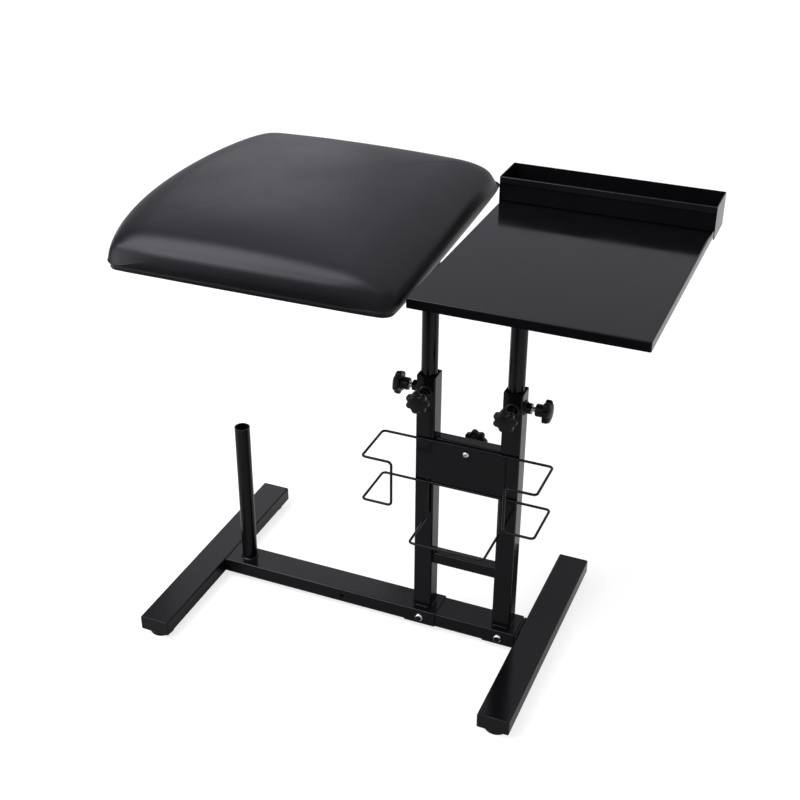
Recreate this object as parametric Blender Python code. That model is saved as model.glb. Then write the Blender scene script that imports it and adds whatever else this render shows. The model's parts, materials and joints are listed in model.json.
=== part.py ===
"""Tattoo workstation: a padded rest and a steel tray on two height-adjustable tubes over an H-shaped base.

Every piece is an object of its own. X runs along the base beam from the pad to the tray, -Y is the front,
Z is up, and the floor is Z = 0. Lengths are in metres.
"""
import math

import bmesh
import bpy
from mathutils import Vector

MM = 0.001
DEG = math.radians(1.0)

# Clearances
SEAT = 0.3 * MM             # between faces that touch on the real object
BOLT_FIT = 0.3 * MM         # round a bolt, stud or screw in its hole
TUBE_PLAY = 1.0 * MM        # between a round tube and the square post that it slides in

# Base: two foot bars joined by a beam
FOOT_WIDTH = 50 * MM
FOOT_HEIGHT = 25 * MM
FOOT_LENGTH = 426 * MM
FOOT_WALL = 1.5 * MM
FLOOR_GAP = 10 * MM         # floor to the underside of a foot bar
CAP_FLANGE = 2.5 * MM
CAP_PLUG = 12 * MM
BEAM_WIDTH = 50 * MM
BEAM_HEIGHT = 25 * MM
BEAM_WALL = 1.5 * MM
BAR_CORNER = 2.5 * MM       # outer corner radius of every square or flat tube
END_PLATE = 2 * MM
END_PLATE_MARGIN = 2 * MM   # how far the end plate stands out past the beam's sides
SPARE_HOLE_DIAMETER = 6 * MM
SPARE_HOLE_FROM_FOOT = 244 * MM

# Levelling feet
LEVEL_DIAMETER = 38 * MM
LEVEL_HEIGHT = 7 * MM
LEVEL_TAPER = 3 * MM
LEVEL_STUD = 8 * MM
LEVEL_STUD_LENGTH = 26 * MM
LEVEL_FROM_END = 22 * MM

# Roll post
ROLL_POST_DIAMETER = 25 * MM
ROLL_POST_WALL = 1.5 * MM
ROLL_POST_TOP = 292 * MM    # above the floor
ROLL_POST_GAP = 22.2 * MM     # from the left foot bar's side

# Posts, saddles and crossbars
LEFT_POST_X = 28.1 * MM     # keeps the plan centre of the whole object at X = 0
POST_Y = 9 * MM             # and at Y = 0
POST_SPACING = 134 * MM
POST_SIZE = 30 * MM
POST_WALL = 1.5 * MM
POST_TOP = 460 * MM         # above the floor
LEFT_REACH = 382.7 * MM     # left post to the left foot bar, centre to centre
SADDLE_LENGTH = 53 * MM
SADDLE_SHEET = 1.5 * MM
SADDLE_DROP = 24 * MM       # depth of its sides below the beam's top
SADDLE_TO_PLATE = 2.2 * MM
SADDLE_BOLT = 8 * MM
SADDLE_BOLT_DROP = 12 * MM  # below the beam's top
SADDLE_BOLT_HEAD = 14 * MM
SADDLE_BOLT_HEAD_HEIGHT = 4.4 * MM
SADDLE_NUT_WIDTH = 13 * MM  # across the flats
SADDLE_NUT_HEIGHT = 6.5 * MM
BAR_SIZE = 20 * MM
BAR_WALL = 1.5 * MM
LOWER_BAR_TOP = 144 * MM    # above the floor
UPPER_BAR_TOP = 357 * MM    # above the floor

# Clamp knobs
CLAMP_DROP = 26 * MM        # stud axis below the post's top
CLAMP_STUD = 8 * MM
CLAMP_STUD_SHOWN = 6 * MM   # bare stud between nut and knob
CLAMP_STUD_IN_KNOB = 14 * MM
NUT_COLLAR = 19 * MM
NUT_COLLAR_HEIGHT = 3 * MM
NUT_WIDTH = 16 * MM         # across the flats
NUT_HEIGHT = 7 * MM
KNOB_DIAMETER = 36 * MM
KNOB_LOBES = 7
KNOB_LOBE_DEPTH = 3.2 * MM
KNOB_RIM = 9 * MM
KNOB_DOME = 3.5 * MM
HUB_DIAMETER = 19 * MM
HUB_HEIGHT = 12 * MM

# Wire rack between the posts
RACK_WIRE = 4 * MM
RACK_BEND = 6 * MM          # centre-line radius of the wire's bends
RACK_WIDTH = 268 * MM       # wire centre to wire centre, as the next sizes are
RACK_HEIGHT = 75 * MM
RACK_DEPTH = 80 * MM
BASKET_WIDTH = 47 * MM
RACK_TOP_DROP = 2 * MM      # top wire below the upper crossbar's top
CRADLE_INSET = 1 * MM       # cradle wire inside each end of the plate
CRADLE_DROP = 61 * MM       # below the rack's lower wire
CRADLE_DEPTH = 74 * MM
RACK_PLATE = 1.5 * MM
RACK_PLATE_LAP = 10 * MM    # plate over each post's front face
RACK_BOLT = 6 * MM
RACK_BOLT_HEAD = 10.5 * MM
RACK_BOLT_HEAD_HEIGHT = 3.6 * MM
RACK_BOLT_DROP = 3 * MM     # below the upper crossbar's middle
RACK_BOLT_IN_KNOB = 14 * MM
RACK_SLOT_RISE = 3.5 * MM

# Sliding tubes
PAD_TUBE_LENGTH = 450 * MM
TRAY_TUBE_LENGTH = 450 * MM
TUBE_WALL = 1.5 * MM

# Pad
PAD_BOTTOM = 664.5 * MM     # above the floor, on the tube's axis
PAD_YAW = 3.0 * DEG         # turned a little off square in its post
PAD_TILT = 1.3 * DEG        # set a little nose-up, so that it levels under an arm's weight
PAD_FRONT = 400 * MM        # straight front edge
PAD_DEPTH = 506 * MM
PAD_BOW = 52 * MM           # how far the left end bows out between its corners
PAD_CORNER = 24 * MM
PAD_TUBE_FROM_EDGE = 33 * MM
PAD_TUCK = 3 * MM           # sides drawn in at the board
PAD_HEM = 10 * MM           # cover turned under the board
PAD_COVER = 1.5 * MM
PAD_BOARD = 12 * MM
FOAM_EDGE = 3 * MM          # foam at the fullest part of the side, above the board
FOAM_RISE = 32 * MM
PAD_CROWN = 18 * MM
ROUND_RIGHT = 78 * MM       # width of the rounding along each side
ROUND_FRONT = 24 * MM
ROUND_BACK = 62 * MM
ROUND_LEFT = 61 * MM
ROUND_BLEND = 3             # how squarely the roundings of two sides meet at a corner
PAD_PLATE = 4 * MM
PAD_PLATE_WIDTH = 120 * MM
PAD_PLATE_REACH = 190 * MM  # to the left of the tube
PAD_PLATE_TO_HEM = 2 * MM
PLATE_CORNER = 10 * MM
PAD_SCREW = 5 * MM
PAD_SCREW_HEAD = 10 * MM
PAD_SCREW_HEAD_HEIGHT = 3 * MM
PAD_SCREW_IN_BOARD = 9 * MM
SCREW_FROM_EDGE = 15 * MM

# Tray
TRAY_TOP = 682 * MM         # above the floor
TRAY_WIDTH = 310 * MM
TRAY_DEPTH = 430 * MM
TRAY_SHEET = 1.2 * MM
TRAY_FLANGE = 14 * MM
TRAY_CORNER = 2 * MM
PAD_TO_TRAY = 4 * MM        # least gap between the pad's side and the tray's edge
TRAY_PLATE = 3 * MM
TRAY_PLATE_LENGTH = 120 * MM
TRAY_PLATE_WIDTH = 100 * MM
TRAY_BOLT = 6 * MM
TRAY_BOLT_HEAD = 11 * MM
TRAY_BOLT_HEAD_HEIGHT = 4 * MM

# Trough along the tray's back edge
TROUGH_DEPTH = 65 * MM
TROUGH_HEIGHT = 38 * MM     # above the tray
TROUGH_SHEET = 1.2 * MM
TROUGH_HEM = 9 * MM
TROUGH_HOOK = 11 * MM       # end plates below the tray's top
TROUGH_SLACK = 2.5 * MM     # spare length at the right end

# Mesh resolution
ROUND_STEPS = 24
SMALL_STEPS = 16
CORNER_STEPS = 3
CROWN_RINGS = 12

# Levels, worked out from the sizes above
FOOT_TOP = FLOOR_GAP + FOOT_HEIGHT
BEAM_TOP = FOOT_TOP
SADDLE_TOP = BEAM_TOP + SEAT + SADDLE_SHEET
POST_BOTTOM = SADDLE_TOP + SEAT
CLAMP_Z = POST_TOP - CLAMP_DROP
TUBE_DIAMETER = POST_SIZE - 2 * POST_WALL - 2 * TUBE_PLAY
RACK_TOP = UPPER_BAR_TOP - RACK_TOP_DROP
RACK_BOLT_Z = UPPER_BAR_TOP - BAR_SIZE / 2 - RACK_BOLT_DROP

# Places along the beam
RIGHT_POST_X = LEFT_POST_X + POST_SPACING
RACK_X = (LEFT_POST_X + RIGHT_POST_X) / 2
LEFT_FOOT_X = LEFT_POST_X - LEFT_REACH
END_PLATE_X = RIGHT_POST_X + SADDLE_LENGTH / 2 + SADDLE_TO_PLATE
RIGHT_FOOT_X = END_PLATE_X + END_PLATE + SEAT + FOOT_WIDTH / 2
ROLL_POST_X = LEFT_FOOT_X + FOOT_WIDTH / 2 + ROLL_POST_GAP + ROLL_POST_DIAMETER / 2
PAD_EDGE_X = LEFT_POST_X + PAD_TUBE_FROM_EDGE / math.cos(PAD_YAW) + math.tan(abs(PAD_YAW)) * TRAY_DEPTH / 2
TRAY_LEFT_X = PAD_EDGE_X + PAD_TO_TRAY

# Local Z turned to each direction
POINT_RIGHT = (0, 90 * DEG, 0)
POINT_LEFT = (0, -90 * DEG, 0)
POINT_FRONT = (90 * DEG, 0, 0)
POINT_BACK = (-90 * DEG, 0, 0)
POINT_UP = (0, 0, 0)


def clear_scene():
    for item in list(bpy.data.objects):
        bpy.data.objects.remove(item, do_unlink=True)


def finish_material(name, colour, roughness, metallic=0.0):
    made = bpy.data.materials.new(name)
    made.use_nodes = True
    shader = made.node_tree.nodes["Principled BSDF"]
    shader.inputs["Base Color"].default_value = (*colour, 1.0)
    shader.inputs["Roughness"].default_value = roughness
    shader.inputs["Metallic"].default_value = metallic
    return made


def empty(name, location=(0, 0, 0), rotation=(0, 0, 0)):
    made = bpy.data.objects.new(name, None)
    made.location = location
    made.rotation_euler = rotation
    bpy.context.collection.objects.link(made)
    return made


def piece(name, form, material, parent, location=(0, 0, 0), rotation=(0, 0, 0)):
    """Turn a bmesh into a named object with flat sides and smooth rounds."""
    bmesh.ops.recalc_face_normals(form, faces=form.faces)
    mesh = bpy.data.meshes.new(name)
    form.to_mesh(mesh)
    form.free()
    mesh.shade_smooth()
    mesh.set_sharp_from_angle(angle=35 * DEG)
    made = bpy.data.objects.new(name, mesh)
    made.parent = parent
    made.location = location
    made.rotation_euler = rotation
    made.data.materials.append(material)
    bpy.context.collection.objects.link(made)
    return made


# Outlines in the plane

def circle(diameter, count, turn=0.0):
    radius = diameter / 2
    angles = [turn + 2 * math.pi * step / count for step in range(count)]
    return [Vector((radius * math.cos(angle), radius * math.sin(angle))) for angle in angles]


def hexagon(across_flats):
    return circle(across_flats / math.cos(30 * DEG), 6)


def fillet(before, corner, after, radius, steps):
    """Points of an arc that rounds the corner between two straight sides."""
    inward = (before - corner).normalized()
    outward = (after - corner).normalized()
    half = inward.angle(outward) / 2
    reach = radius / math.tan(half)
    centre = corner + (inward + outward).normalized() * (radius / math.sin(half))
    start = corner + inward * reach - centre
    sweep = start.angle_signed(corner + outward * reach - centre)
    points = []
    for step in range(steps + 1):
        angle = math.atan2(start.y, start.x) - sweep * step / steps
        points.append(centre + radius * Vector((math.cos(angle), math.sin(angle))))
    return points


def rounded_rectangle(width, depth, radius, steps=CORNER_STEPS):
    signs = [(1, -1), (1, 1), (-1, 1), (-1, -1)]
    corners = [Vector((width / 2 * x, depth / 2 * y)) for x, y in signs]
    points = []
    for index, corner in enumerate(corners):
        points += fillet(corners[index - 1], corner, corners[(index + 1) % 4], radius, steps)
    return points


# Solids

def ring(form, outline, level):
    return [form.verts.new((point.x, point.y, level)) for point in outline]


def join_rings(form, lower, upper):
    count = len(lower)
    for index in range(count):
        after = (index + 1) % count
        form.faces.new((lower[index], lower[after], upper[after], upper[index]))


def stack(sections):
    """A solid through a list of (outline, level), closed by a face at both ends."""
    form = bmesh.new()
    rings = [ring(form, outline, level) for outline, level in sections]
    for lower, upper in zip(rings, rings[1:]):
        join_rings(form, lower, upper)
    form.faces.new(rings[0])
    form.faces.new(rings[-1])
    return form


def sleeve(outer, inner, low, high):
    """A tube that is open at both ends."""
    form = bmesh.new()
    rings = [ring(form, outer, low), ring(form, outer, high), ring(form, inner, high), ring(form, inner, low)]
    for lower, upper in zip(rings, rings[1:] + rings[:1]):
        join_rings(form, lower, upper)
    return form


def flat_tube(width, depth, wall, length):
    """A square or flat steel tube along Z, centred on its axis and standing on Z = 0."""
    outer = rounded_rectangle(width, depth, BAR_CORNER)
    inner = rounded_rectangle(width - 2 * wall, depth - 2 * wall, max(BAR_CORNER - wall, BAR_CORNER / 5))
    return sleeve(outer, inner, 0, length)


def round_tube(diameter, wall, low, high):
    return sleeve(circle(diameter, ROUND_STEPS), circle(diameter - 2 * wall, ROUND_STEPS), low, high)


def cut(target, form, parent, location, rotation=(0, 0, 0)):
    """Take a hidden solid out of a piece."""
    bmesh.ops.recalc_face_normals(form, faces=form.faces)
    mesh = bpy.data.meshes.new(target.name + "_cutter")
    form.to_mesh(mesh)
    form.free()
    tool = bpy.data.objects.new(mesh.name, mesh)
    tool.parent = parent
    tool.location = location
    tool.rotation_euler = rotation
    tool.hide_render = True
    tool.display_type = "WIRE"
    bpy.context.collection.objects.link(tool)
    modifier = target.modifiers.new("cut", "BOOLEAN")
    modifier.operation = "DIFFERENCE"
    modifier.solver = "EXACT"
    modifier.object = tool


def drill(target, diameter, depth, parent, location, rotation=POINT_UP):
    """A round hole around a bolt, stud or screw, starting at location and running along local Z."""
    outline = circle(diameter + 2 * BOLT_FIT, SMALL_STEPS)
    cut(target, stack([(outline, 0), (outline, depth)]), parent, location, rotation)


def headed_bolt(diameter, length, head, head_height):
    """Shank up along Z from a domed head that hangs below Z = 0."""
    crown = head * 0.6
    return stack([
        (circle(crown, SMALL_STEPS), -head_height),
        (circle(head, SMALL_STEPS), -head_height * 0.45),
        (circle(head, SMALL_STEPS), 0),
        (circle(diameter, SMALL_STEPS), 0),
        (circle(diameter, SMALL_STEPS), length),
    ])


def bent_wire(name, corners, diameter, bend, closed, material, parent, location):
    """A round wire through a list of corners, each bent to the same radius."""
    count = len(corners)
    route = []
    for index, corner in enumerate(corners):
        at_end = not closed and index in (0, count - 1)
        if at_end:
            route.append(corner)
            continue
        before = (corners[index - 1] - corner).normalized()
        after = (corners[(index + 1) % count] - corner).normalized()
        half = before.angle(after) / 2
        reach = bend / math.tan(half)
        centre = corner + (before + after).normalized() * (bend / math.sin(half))
        start = corner + before * reach - centre
        finish = corner + after * reach - centre
        for step in range(CORNER_STEPS + 1):
            route.append(centre + bend * start.slerp(finish, step / CORNER_STEPS))
    data = bpy.data.curves.new(name, "CURVE")
    data.dimensions = "3D"
    data.bevel_depth = diameter / 2
    data.bevel_resolution = 2
    data.use_fill_caps = True
    spline = data.splines.new("POLY")
    spline.points.add(len(route) - 1)
    for point, place in zip(spline.points, route):
        point.co = (*place, 1)
    spline.use_cyclic_u = closed
    made = bpy.data.objects.new(name, data)
    made.parent = parent
    made.location = location
    data.materials.append(material)
    bpy.context.collection.objects.link(made)
    return made


# Base

def build_feet(base, paint, plastic):
    bar_length = FOOT_LENGTH - 2 * (CAP_FLANGE + SEAT)
    bar_middle = FLOOR_GAP + FOOT_HEIGHT / 2
    plug = rounded_rectangle(FOOT_WIDTH - 2 * FOOT_WALL - 2 * SEAT, FOOT_HEIGHT - 2 * FOOT_WALL - 2 * SEAT,
                             BAR_CORNER / 2)
    face = rounded_rectangle(FOOT_WIDTH, FOOT_HEIGHT, BAR_CORNER)
    rim = rounded_rectangle(FOOT_WIDTH - CAP_FLANGE, FOOT_HEIGHT - CAP_FLANGE, BAR_CORNER)
    for side, x in (("left", LEFT_FOOT_X), ("right", RIGHT_FOOT_X)):
        bar = piece(side + "_foot_bar", flat_tube(FOOT_WIDTH, FOOT_HEIGHT, FOOT_WALL, bar_length), paint, base,
                    (x, POST_Y - bar_length / 2, bar_middle), POINT_BACK)
        for end, sign, turn in (("front", -1, POINT_FRONT), ("back", 1, POINT_BACK)):
            cap = stack([(plug, -CAP_PLUG), (plug, 0), (face, 0), (face, CAP_FLANGE / 2), (rim, CAP_FLANGE)])
            piece(f"{side}_{end}_end_cap", cap, plastic, base,
                  (x, POST_Y + sign * (bar_length / 2 + SEAT), bar_middle), turn)
            level_y = POST_Y + sign * (FOOT_LENGTH / 2 - LEVEL_FROM_END)
            pad = circle(LEVEL_DIAMETER, ROUND_STEPS)
            top = circle(LEVEL_DIAMETER - 2 * LEVEL_TAPER, ROUND_STEPS)
            stud = circle(LEVEL_STUD, ROUND_STEPS)
            foot = stack([(top, 0), (pad, LEVEL_HEIGHT / 6), (pad, LEVEL_HEIGHT / 2), (top, LEVEL_HEIGHT),
                          (stud, LEVEL_HEIGHT), (stud, LEVEL_STUD_LENGTH)])
            piece(f"{side}_{end}_levelling_foot", foot, plastic, base, (x, level_y, 0))
            drill(bar, LEVEL_STUD, FOOT_WALL * 3, base, (x, level_y, FLOOR_GAP - FOOT_WALL))


def build_beam(base, paint):
    left = LEFT_FOOT_X + FOOT_WIDTH / 2 + SEAT
    right = END_PLATE_X - SEAT
    middle = BEAM_TOP - BEAM_HEIGHT / 2
    # local X of the section stands upright once the tube lies along X
    beam = piece("main_beam", flat_tube(BEAM_HEIGHT, BEAM_WIDTH, BEAM_WALL, right - left), paint, base,
                 (left, POST_Y, middle), POINT_RIGHT)
    plate = rounded_rectangle(FOOT_HEIGHT, BEAM_WIDTH + 2 * END_PLATE_MARGIN, BAR_CORNER)
    piece("beam_end_plate", stack([(plate, 0), (plate, END_PLATE)]), paint, base,
          (END_PLATE_X, POST_Y, FLOOR_GAP + FOOT_HEIGHT / 2), POINT_RIGHT)
    spare_x = LEFT_FOOT_X + SPARE_HOLE_FROM_FOOT
    drill(beam, SPARE_HOLE_DIAMETER, BEAM_WALL * 3, base,
          (spare_x, POST_Y - BEAM_WIDTH / 2 + BEAM_WALL * 2, middle), POINT_FRONT)
    piece("roll_post", round_tube(ROLL_POST_DIAMETER, ROLL_POST_WALL, BEAM_TOP + SEAT, ROLL_POST_TOP),
          paint, base, (ROLL_POST_X, POST_Y, 0))
    return beam


def saddle_section():
    """Inverted U of sheet steel over the beam, in the plane across it."""
    inner = BEAM_WIDTH / 2 + SEAT
    outer = inner + SADDLE_SHEET
    roof = SEAT
    top = roof + SADDLE_SHEET
    outline = [(-outer, -SADDLE_DROP), (-outer, top), (outer, top), (outer, -SADDLE_DROP), (inner, -SADDLE_DROP),
               (inner, roof), (-inner, roof), (-inner, -SADDLE_DROP)]
    return [Vector(point) for point in outline]


def build_posts(base, beam, paint, steel):
    bolt_z = BEAM_TOP - SADDLE_BOLT_DROP
    bolt_seat = BEAM_WIDTH / 2 + SEAT + SADDLE_SHEET + SEAT
    shank = 2 * bolt_seat + SADDLE_NUT_HEIGHT
    posts = {}
    for side, x in (("left", LEFT_POST_X), ("right", RIGHT_POST_X)):
        # the section's plane stands across the beam, and its length runs along -X from the far end
        section = [Vector((point.y, point.x)) for point in saddle_section()]
        saddle = piece(side + "_saddle", stack([(section, 0), (section, SADDLE_LENGTH)]), paint, base,
                       (x + SADDLE_LENGTH / 2, POST_Y, BEAM_TOP), POINT_LEFT)
        posts[side] = piece(side + "_post", flat_tube(POST_SIZE, POST_SIZE, POST_WALL, POST_TOP - POST_BOTTOM),
                            paint, base, (x, POST_Y, POST_BOTTOM))
        head_seat = (x, POST_Y - bolt_seat, bolt_z)
        piece(side + "_saddle_bolt", headed_bolt(SADDLE_BOLT, shank, SADDLE_BOLT_HEAD, SADDLE_BOLT_HEAD_HEIGHT),
              steel, base, head_seat, POINT_BACK)
        nut = sleeve(hexagon(SADDLE_NUT_WIDTH), hexagon(SADDLE_BOLT + 2 * BOLT_FIT), 0, SADDLE_NUT_HEIGHT)
        piece(side + "_saddle_nut", nut, steel, base, (x, POST_Y + bolt_seat, bolt_z), POINT_BACK)
        for holed in (saddle, beam):
            drill(holed, SADDLE_BOLT, 2 * bolt_seat, base, head_seat, POINT_BACK)
    return posts


def build_crossbars(base, paint):
    length = POST_SPACING - POST_SIZE - 2 * SEAT
    bars = {}
    for name, top in (("lower", LOWER_BAR_TOP), ("upper", UPPER_BAR_TOP)):
        start = (LEFT_POST_X + POST_SIZE / 2 + SEAT, POST_Y, top - BAR_SIZE / 2)
        bars[name] = piece(name + "_crossbar", flat_tube(BAR_SIZE, BAR_SIZE, BAR_WALL, length), paint, base,
                           start, POINT_RIGHT)
    return bars


# Clamp knobs

def star_outline(diameter, lobe_depth):
    """Star of flat-topped lobes: two points on each lobe and two in each valley."""
    points = []
    for step in range(4 * KNOB_LOBES):
        radius = diameter / 2 if step % 4 < 2 else diameter / 2 - lobe_depth
        angle = 2 * math.pi * step / (4 * KNOB_LOBES)
        points.append(Vector((radius * math.cos(angle), radius * math.sin(angle))))
    return points


def knob(bolt, bolt_depth):
    """Star knob on Z = 0 with a blind hole for its bolt; the head points along +Z."""
    count = 4 * KNOB_LOBES
    hole = circle(bolt + 2 * BOLT_FIT, count)
    hub = circle(HUB_DIAMETER, count)
    foot = circle(HUB_DIAMETER - HUB_HEIGHT / 6, count)
    star = star_outline(KNOB_DIAMETER, KNOB_LOBE_DEPTH)
    rim = star_outline(KNOB_DIAMETER - KNOB_DOME, KNOB_LOBE_DEPTH * 0.8)
    face = circle(KNOB_DIAMETER * 0.55, count)
    top = HUB_HEIGHT + KNOB_RIM + KNOB_DOME
    return stack([(hole, bolt_depth + SEAT), (hole, 0), (foot, 0), (hub, HUB_HEIGHT / 4), (hub, HUB_HEIGHT),
                  (star, HUB_HEIGHT), (star, HUB_HEIGHT + KNOB_RIM), (rim, HUB_HEIGHT + KNOB_RIM + KNOB_DOME / 2),
                  (face, top)])


def clamp_nut():
    """Hexagon nut on a round collar, welded to the post."""
    collar = circle(NUT_COLLAR, ROUND_STEPS)
    hole = circle(CLAMP_STUD + 2 * BOLT_FIT, ROUND_STEPS)
    # a hexagon drawn with the collar's point count, so that the rings can be joined
    flats = []
    for point in circle(1, ROUND_STEPS):
        turn = math.atan2(point.y, point.x) % (60 * DEG) - 30 * DEG
        flats.append(point.normalized() * (NUT_WIDTH / 2 / math.cos(turn)))
    top = NUT_COLLAR_HEIGHT + NUT_HEIGHT
    form = bmesh.new()
    levels = [(hole, 0), (collar, 0), (collar, NUT_COLLAR_HEIGHT), (flats, NUT_COLLAR_HEIGHT), (flats, top),
              (hole, top)]
    rings = [ring(form, outline, level) for outline, level in levels]
    for lower, upper in zip(rings, rings[1:] + rings[:1]):
        join_rings(form, lower, upper)
    return form


def build_clamps(base, posts, paint, plastic, steel):
    face = POST_SIZE / 2
    tip = TUBE_DIAMETER / 2 + SEAT - face
    knob_seat = SEAT + NUT_COLLAR_HEIGHT + NUT_HEIGHT + CLAMP_STUD_SHOWN
    clamps = (("left", "side", LEFT_POST_X, Vector((-1, 0, 0)), POINT_LEFT),
              ("left", "front", LEFT_POST_X, Vector((0, -1, 0)), POINT_FRONT),
              ("right", "side", RIGHT_POST_X, Vector((1, 0, 0)), POINT_RIGHT),
              ("right", "front", RIGHT_POST_X, Vector((0, -1, 0)), POINT_FRONT))
    for post, where, x, outward, turn in clamps:
        name = f"{post}_{where}"
        axis = Vector((x, POST_Y, CLAMP_Z)) + outward * face
        piece(name + "_clamp_nut", clamp_nut(), paint, base, axis + outward * SEAT, turn)
        stud = circle(CLAMP_STUD, SMALL_STEPS)
        piece(name + "_clamp_stud", stack([(stud, tip), (stud, knob_seat + CLAMP_STUD_IN_KNOB)]), steel, base,
              axis, turn)
        piece(name + "_clamp_knob", knob(CLAMP_STUD, CLAMP_STUD_IN_KNOB), plastic, base,
              axis + outward * knob_seat, turn)
        drill(posts[post], CLAMP_STUD, POST_WALL * 3, base, axis - outward * POST_WALL * 2, turn)


# Wire rack

def build_rack(base, upper_bar, paint, plastic, steel):
    face = POST_Y - POST_SIZE / 2 - SEAT
    wire_y = -RACK_WIRE / 2
    front_y = wire_y - RACK_DEPTH
    half = RACK_WIDTH / 2
    inner = half - BASKET_WIDTH
    low = -RACK_HEIGHT
    plate_width = POST_SPACING - POST_SIZE + 2 * RACK_PLATE_LAP
    right = [(half, wire_y, 0), (half, front_y, 0), (inner, front_y, 0), (inner, front_y, low), (half, front_y, low),
             (half, wire_y, low)]
    left = [(-x, y, z) for x, y, z in reversed(right)]
    loop = [Vector(point) for point in right + left]
    bent_wire("rack_basket_wire", loop, RACK_WIRE, RACK_BEND, True, paint, base, (RACK_X, face, RACK_TOP))

    cradle_y = -RACK_WIRE - SEAT - RACK_WIRE / 2
    cradle_front = cradle_y - CRADLE_DEPTH
    bottom = low - CRADLE_DROP
    start = low + RACK_WIRE / 2
    side = plate_width / 2 - RACK_WIRE / 2 - CRADLE_INSET
    cradle = [(-side, cradle_y, start), (-side, cradle_y, bottom), (-side, cradle_front, bottom),
              (side, cradle_front, bottom), (side, cradle_y, bottom), (side, cradle_y, start)]
    bent_wire("rack_cradle_wire", [Vector(point) for point in cradle], RACK_WIRE, RACK_BEND, False, paint, base,
              (RACK_X, face, RACK_TOP))

    height = RACK_HEIGHT - RACK_WIRE - 2 * SEAT
    sheet = rounded_rectangle(plate_width, height, BAR_CORNER)
    plate = piece("rack_plate", stack([(sheet, 0), (sheet, RACK_PLATE)]), paint, base,
                  (RACK_X, face, RACK_TOP - RACK_HEIGHT / 2), POINT_FRONT)
    slot = RACK_BOLT + 2 * BOLT_FIT
    keyhole = [point + Vector((0, RACK_SLOT_RISE if point.y > 0 else 0)) for point in circle(slot, SMALL_STEPS)]
    cut(plate, stack([(keyhole, -RACK_PLATE), (keyhole, 2 * RACK_PLATE)]), base, (RACK_X, face, RACK_BOLT_Z),
        POINT_FRONT)

    head_y = face - RACK_PLATE - SEAT
    knob_y = POST_Y + BAR_SIZE / 2 + SEAT
    shank = knob_y - head_y + RACK_BOLT_IN_KNOB
    piece("rack_bolt", headed_bolt(RACK_BOLT, shank, RACK_BOLT_HEAD, RACK_BOLT_HEAD_HEIGHT), steel, base,
          (RACK_X, head_y, RACK_BOLT_Z), POINT_BACK)
    piece("rack_knob", knob(RACK_BOLT, RACK_BOLT_IN_KNOB), plastic, base, (RACK_X, knob_y, RACK_BOLT_Z), POINT_BACK)
    drill(upper_bar, RACK_BOLT, knob_y - head_y, base, (RACK_X, head_y, RACK_BOLT_Z), POINT_BACK)


# Pad

def bow_radius():
    half_chord = PAD_DEPTH / 2
    return (half_chord ** 2 + PAD_BOW ** 2) / (2 * PAD_BOW)


def bow_centre_x():
    leftmost = PAD_TUBE_FROM_EDGE - PAD_FRONT - PAD_BOW
    return leftmost + bow_radius()


def pad_outline(inset):
    """Plan of the pad drawn in by inset: three straight sides and a bowed left end, from the front right."""
    side_steps = 8
    right = PAD_TUBE_FROM_EDGE - inset
    half = PAD_DEPTH / 2 - inset
    radius = bow_radius() - inset
    reach = math.asin(half / radius)
    bow = []
    for step in range(side_steps + 1):
        angle = math.pi - reach + 2 * reach * step / side_steps
        bow.append(Vector((bow_centre_x() + radius * math.cos(angle), radius * math.sin(angle))))
    corners = [Vector((right, -half)), Vector((right, half)), bow[0], bow[-1]]
    neighbours = [(corners[3], corners[1]), (corners[0], bow[0]), (corners[1], bow[1]), (bow[-2], corners[0])]
    corner_radius = max(PAD_CORNER - inset, PAD_CORNER / 6)
    rounds = [fillet(before, corner, after, corner_radius, CORNER_STEPS)
              for corner, (before, after) in zip(corners, neighbours)]
    points = []
    for index, arc in enumerate(rounds):
        points += arc
        if index == 2:
            points += bow[1:-1]
            continue
        after = rounds[(index + 1) % 4][0]
        points += [arc[-1].lerp(after, step / side_steps) for step in range(1, side_steps)]
    return points


def shortfall(distance, width):
    """1 at a rounded side, falling to 0 where its rounding ends."""
    return 1 - min(max(distance, 0), width) / width


def pad_height(point):
    """Height of the padding over the fullest part of its sides."""
    half = PAD_DEPTH / 2
    to_left = bow_radius() - (point - Vector((bow_centre_x(), 0))).length
    to_right = PAD_TUBE_FROM_EDGE - point.x
    parts = [shortfall(to_right, ROUND_RIGHT), shortfall(to_left, ROUND_LEFT),
             shortfall(half + point.y, ROUND_FRONT), shortfall(half - point.y, ROUND_BACK)]
    short = min(sum(part ** ROUND_BLEND for part in parts) ** (1 / ROUND_BLEND), 1)
    across = 2 * to_right / (PAD_FRONT + PAD_BOW) - 1
    crown = PAD_CROWN * (1 - min(across * across, 1)) * (1 - (point.y / half) ** 2)
    return FOAM_RISE * math.sqrt(1 - short * short) + crown


def padding_rings(form, inset, sink):
    """Rings over the crown, from the fullest part of the sides to the middle, inset and sunk for a lower layer."""
    fullest = PAD_COVER + 2 * SEAT + PAD_BOARD + FOAM_EDGE
    deepest = 0.42 * min(PAD_DEPTH, PAD_FRONT + PAD_BOW)
    rings = []
    for step in range(CROWN_RINGS):
        # rings lie close together where the side curves over and further apart on the flat
        step_in = deepest * (step / (CROWN_RINGS - 1)) ** 2.2
        plan = pad_outline(step_in)
        inner = pad_outline(step_in + inset)
        rings.append([form.verts.new((place.x, place.y, fullest + pad_height(point) - sink))
                      for point, place in zip(plan, inner)])
    return rings


def close_crown(form, last):
    middle = sum((vert.co for vert in last), Vector()) / len(last)
    top = form.verts.new(middle)
    for index, vert in enumerate(last):
        form.faces.new((vert, last[(index + 1) % len(last)], top))


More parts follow.
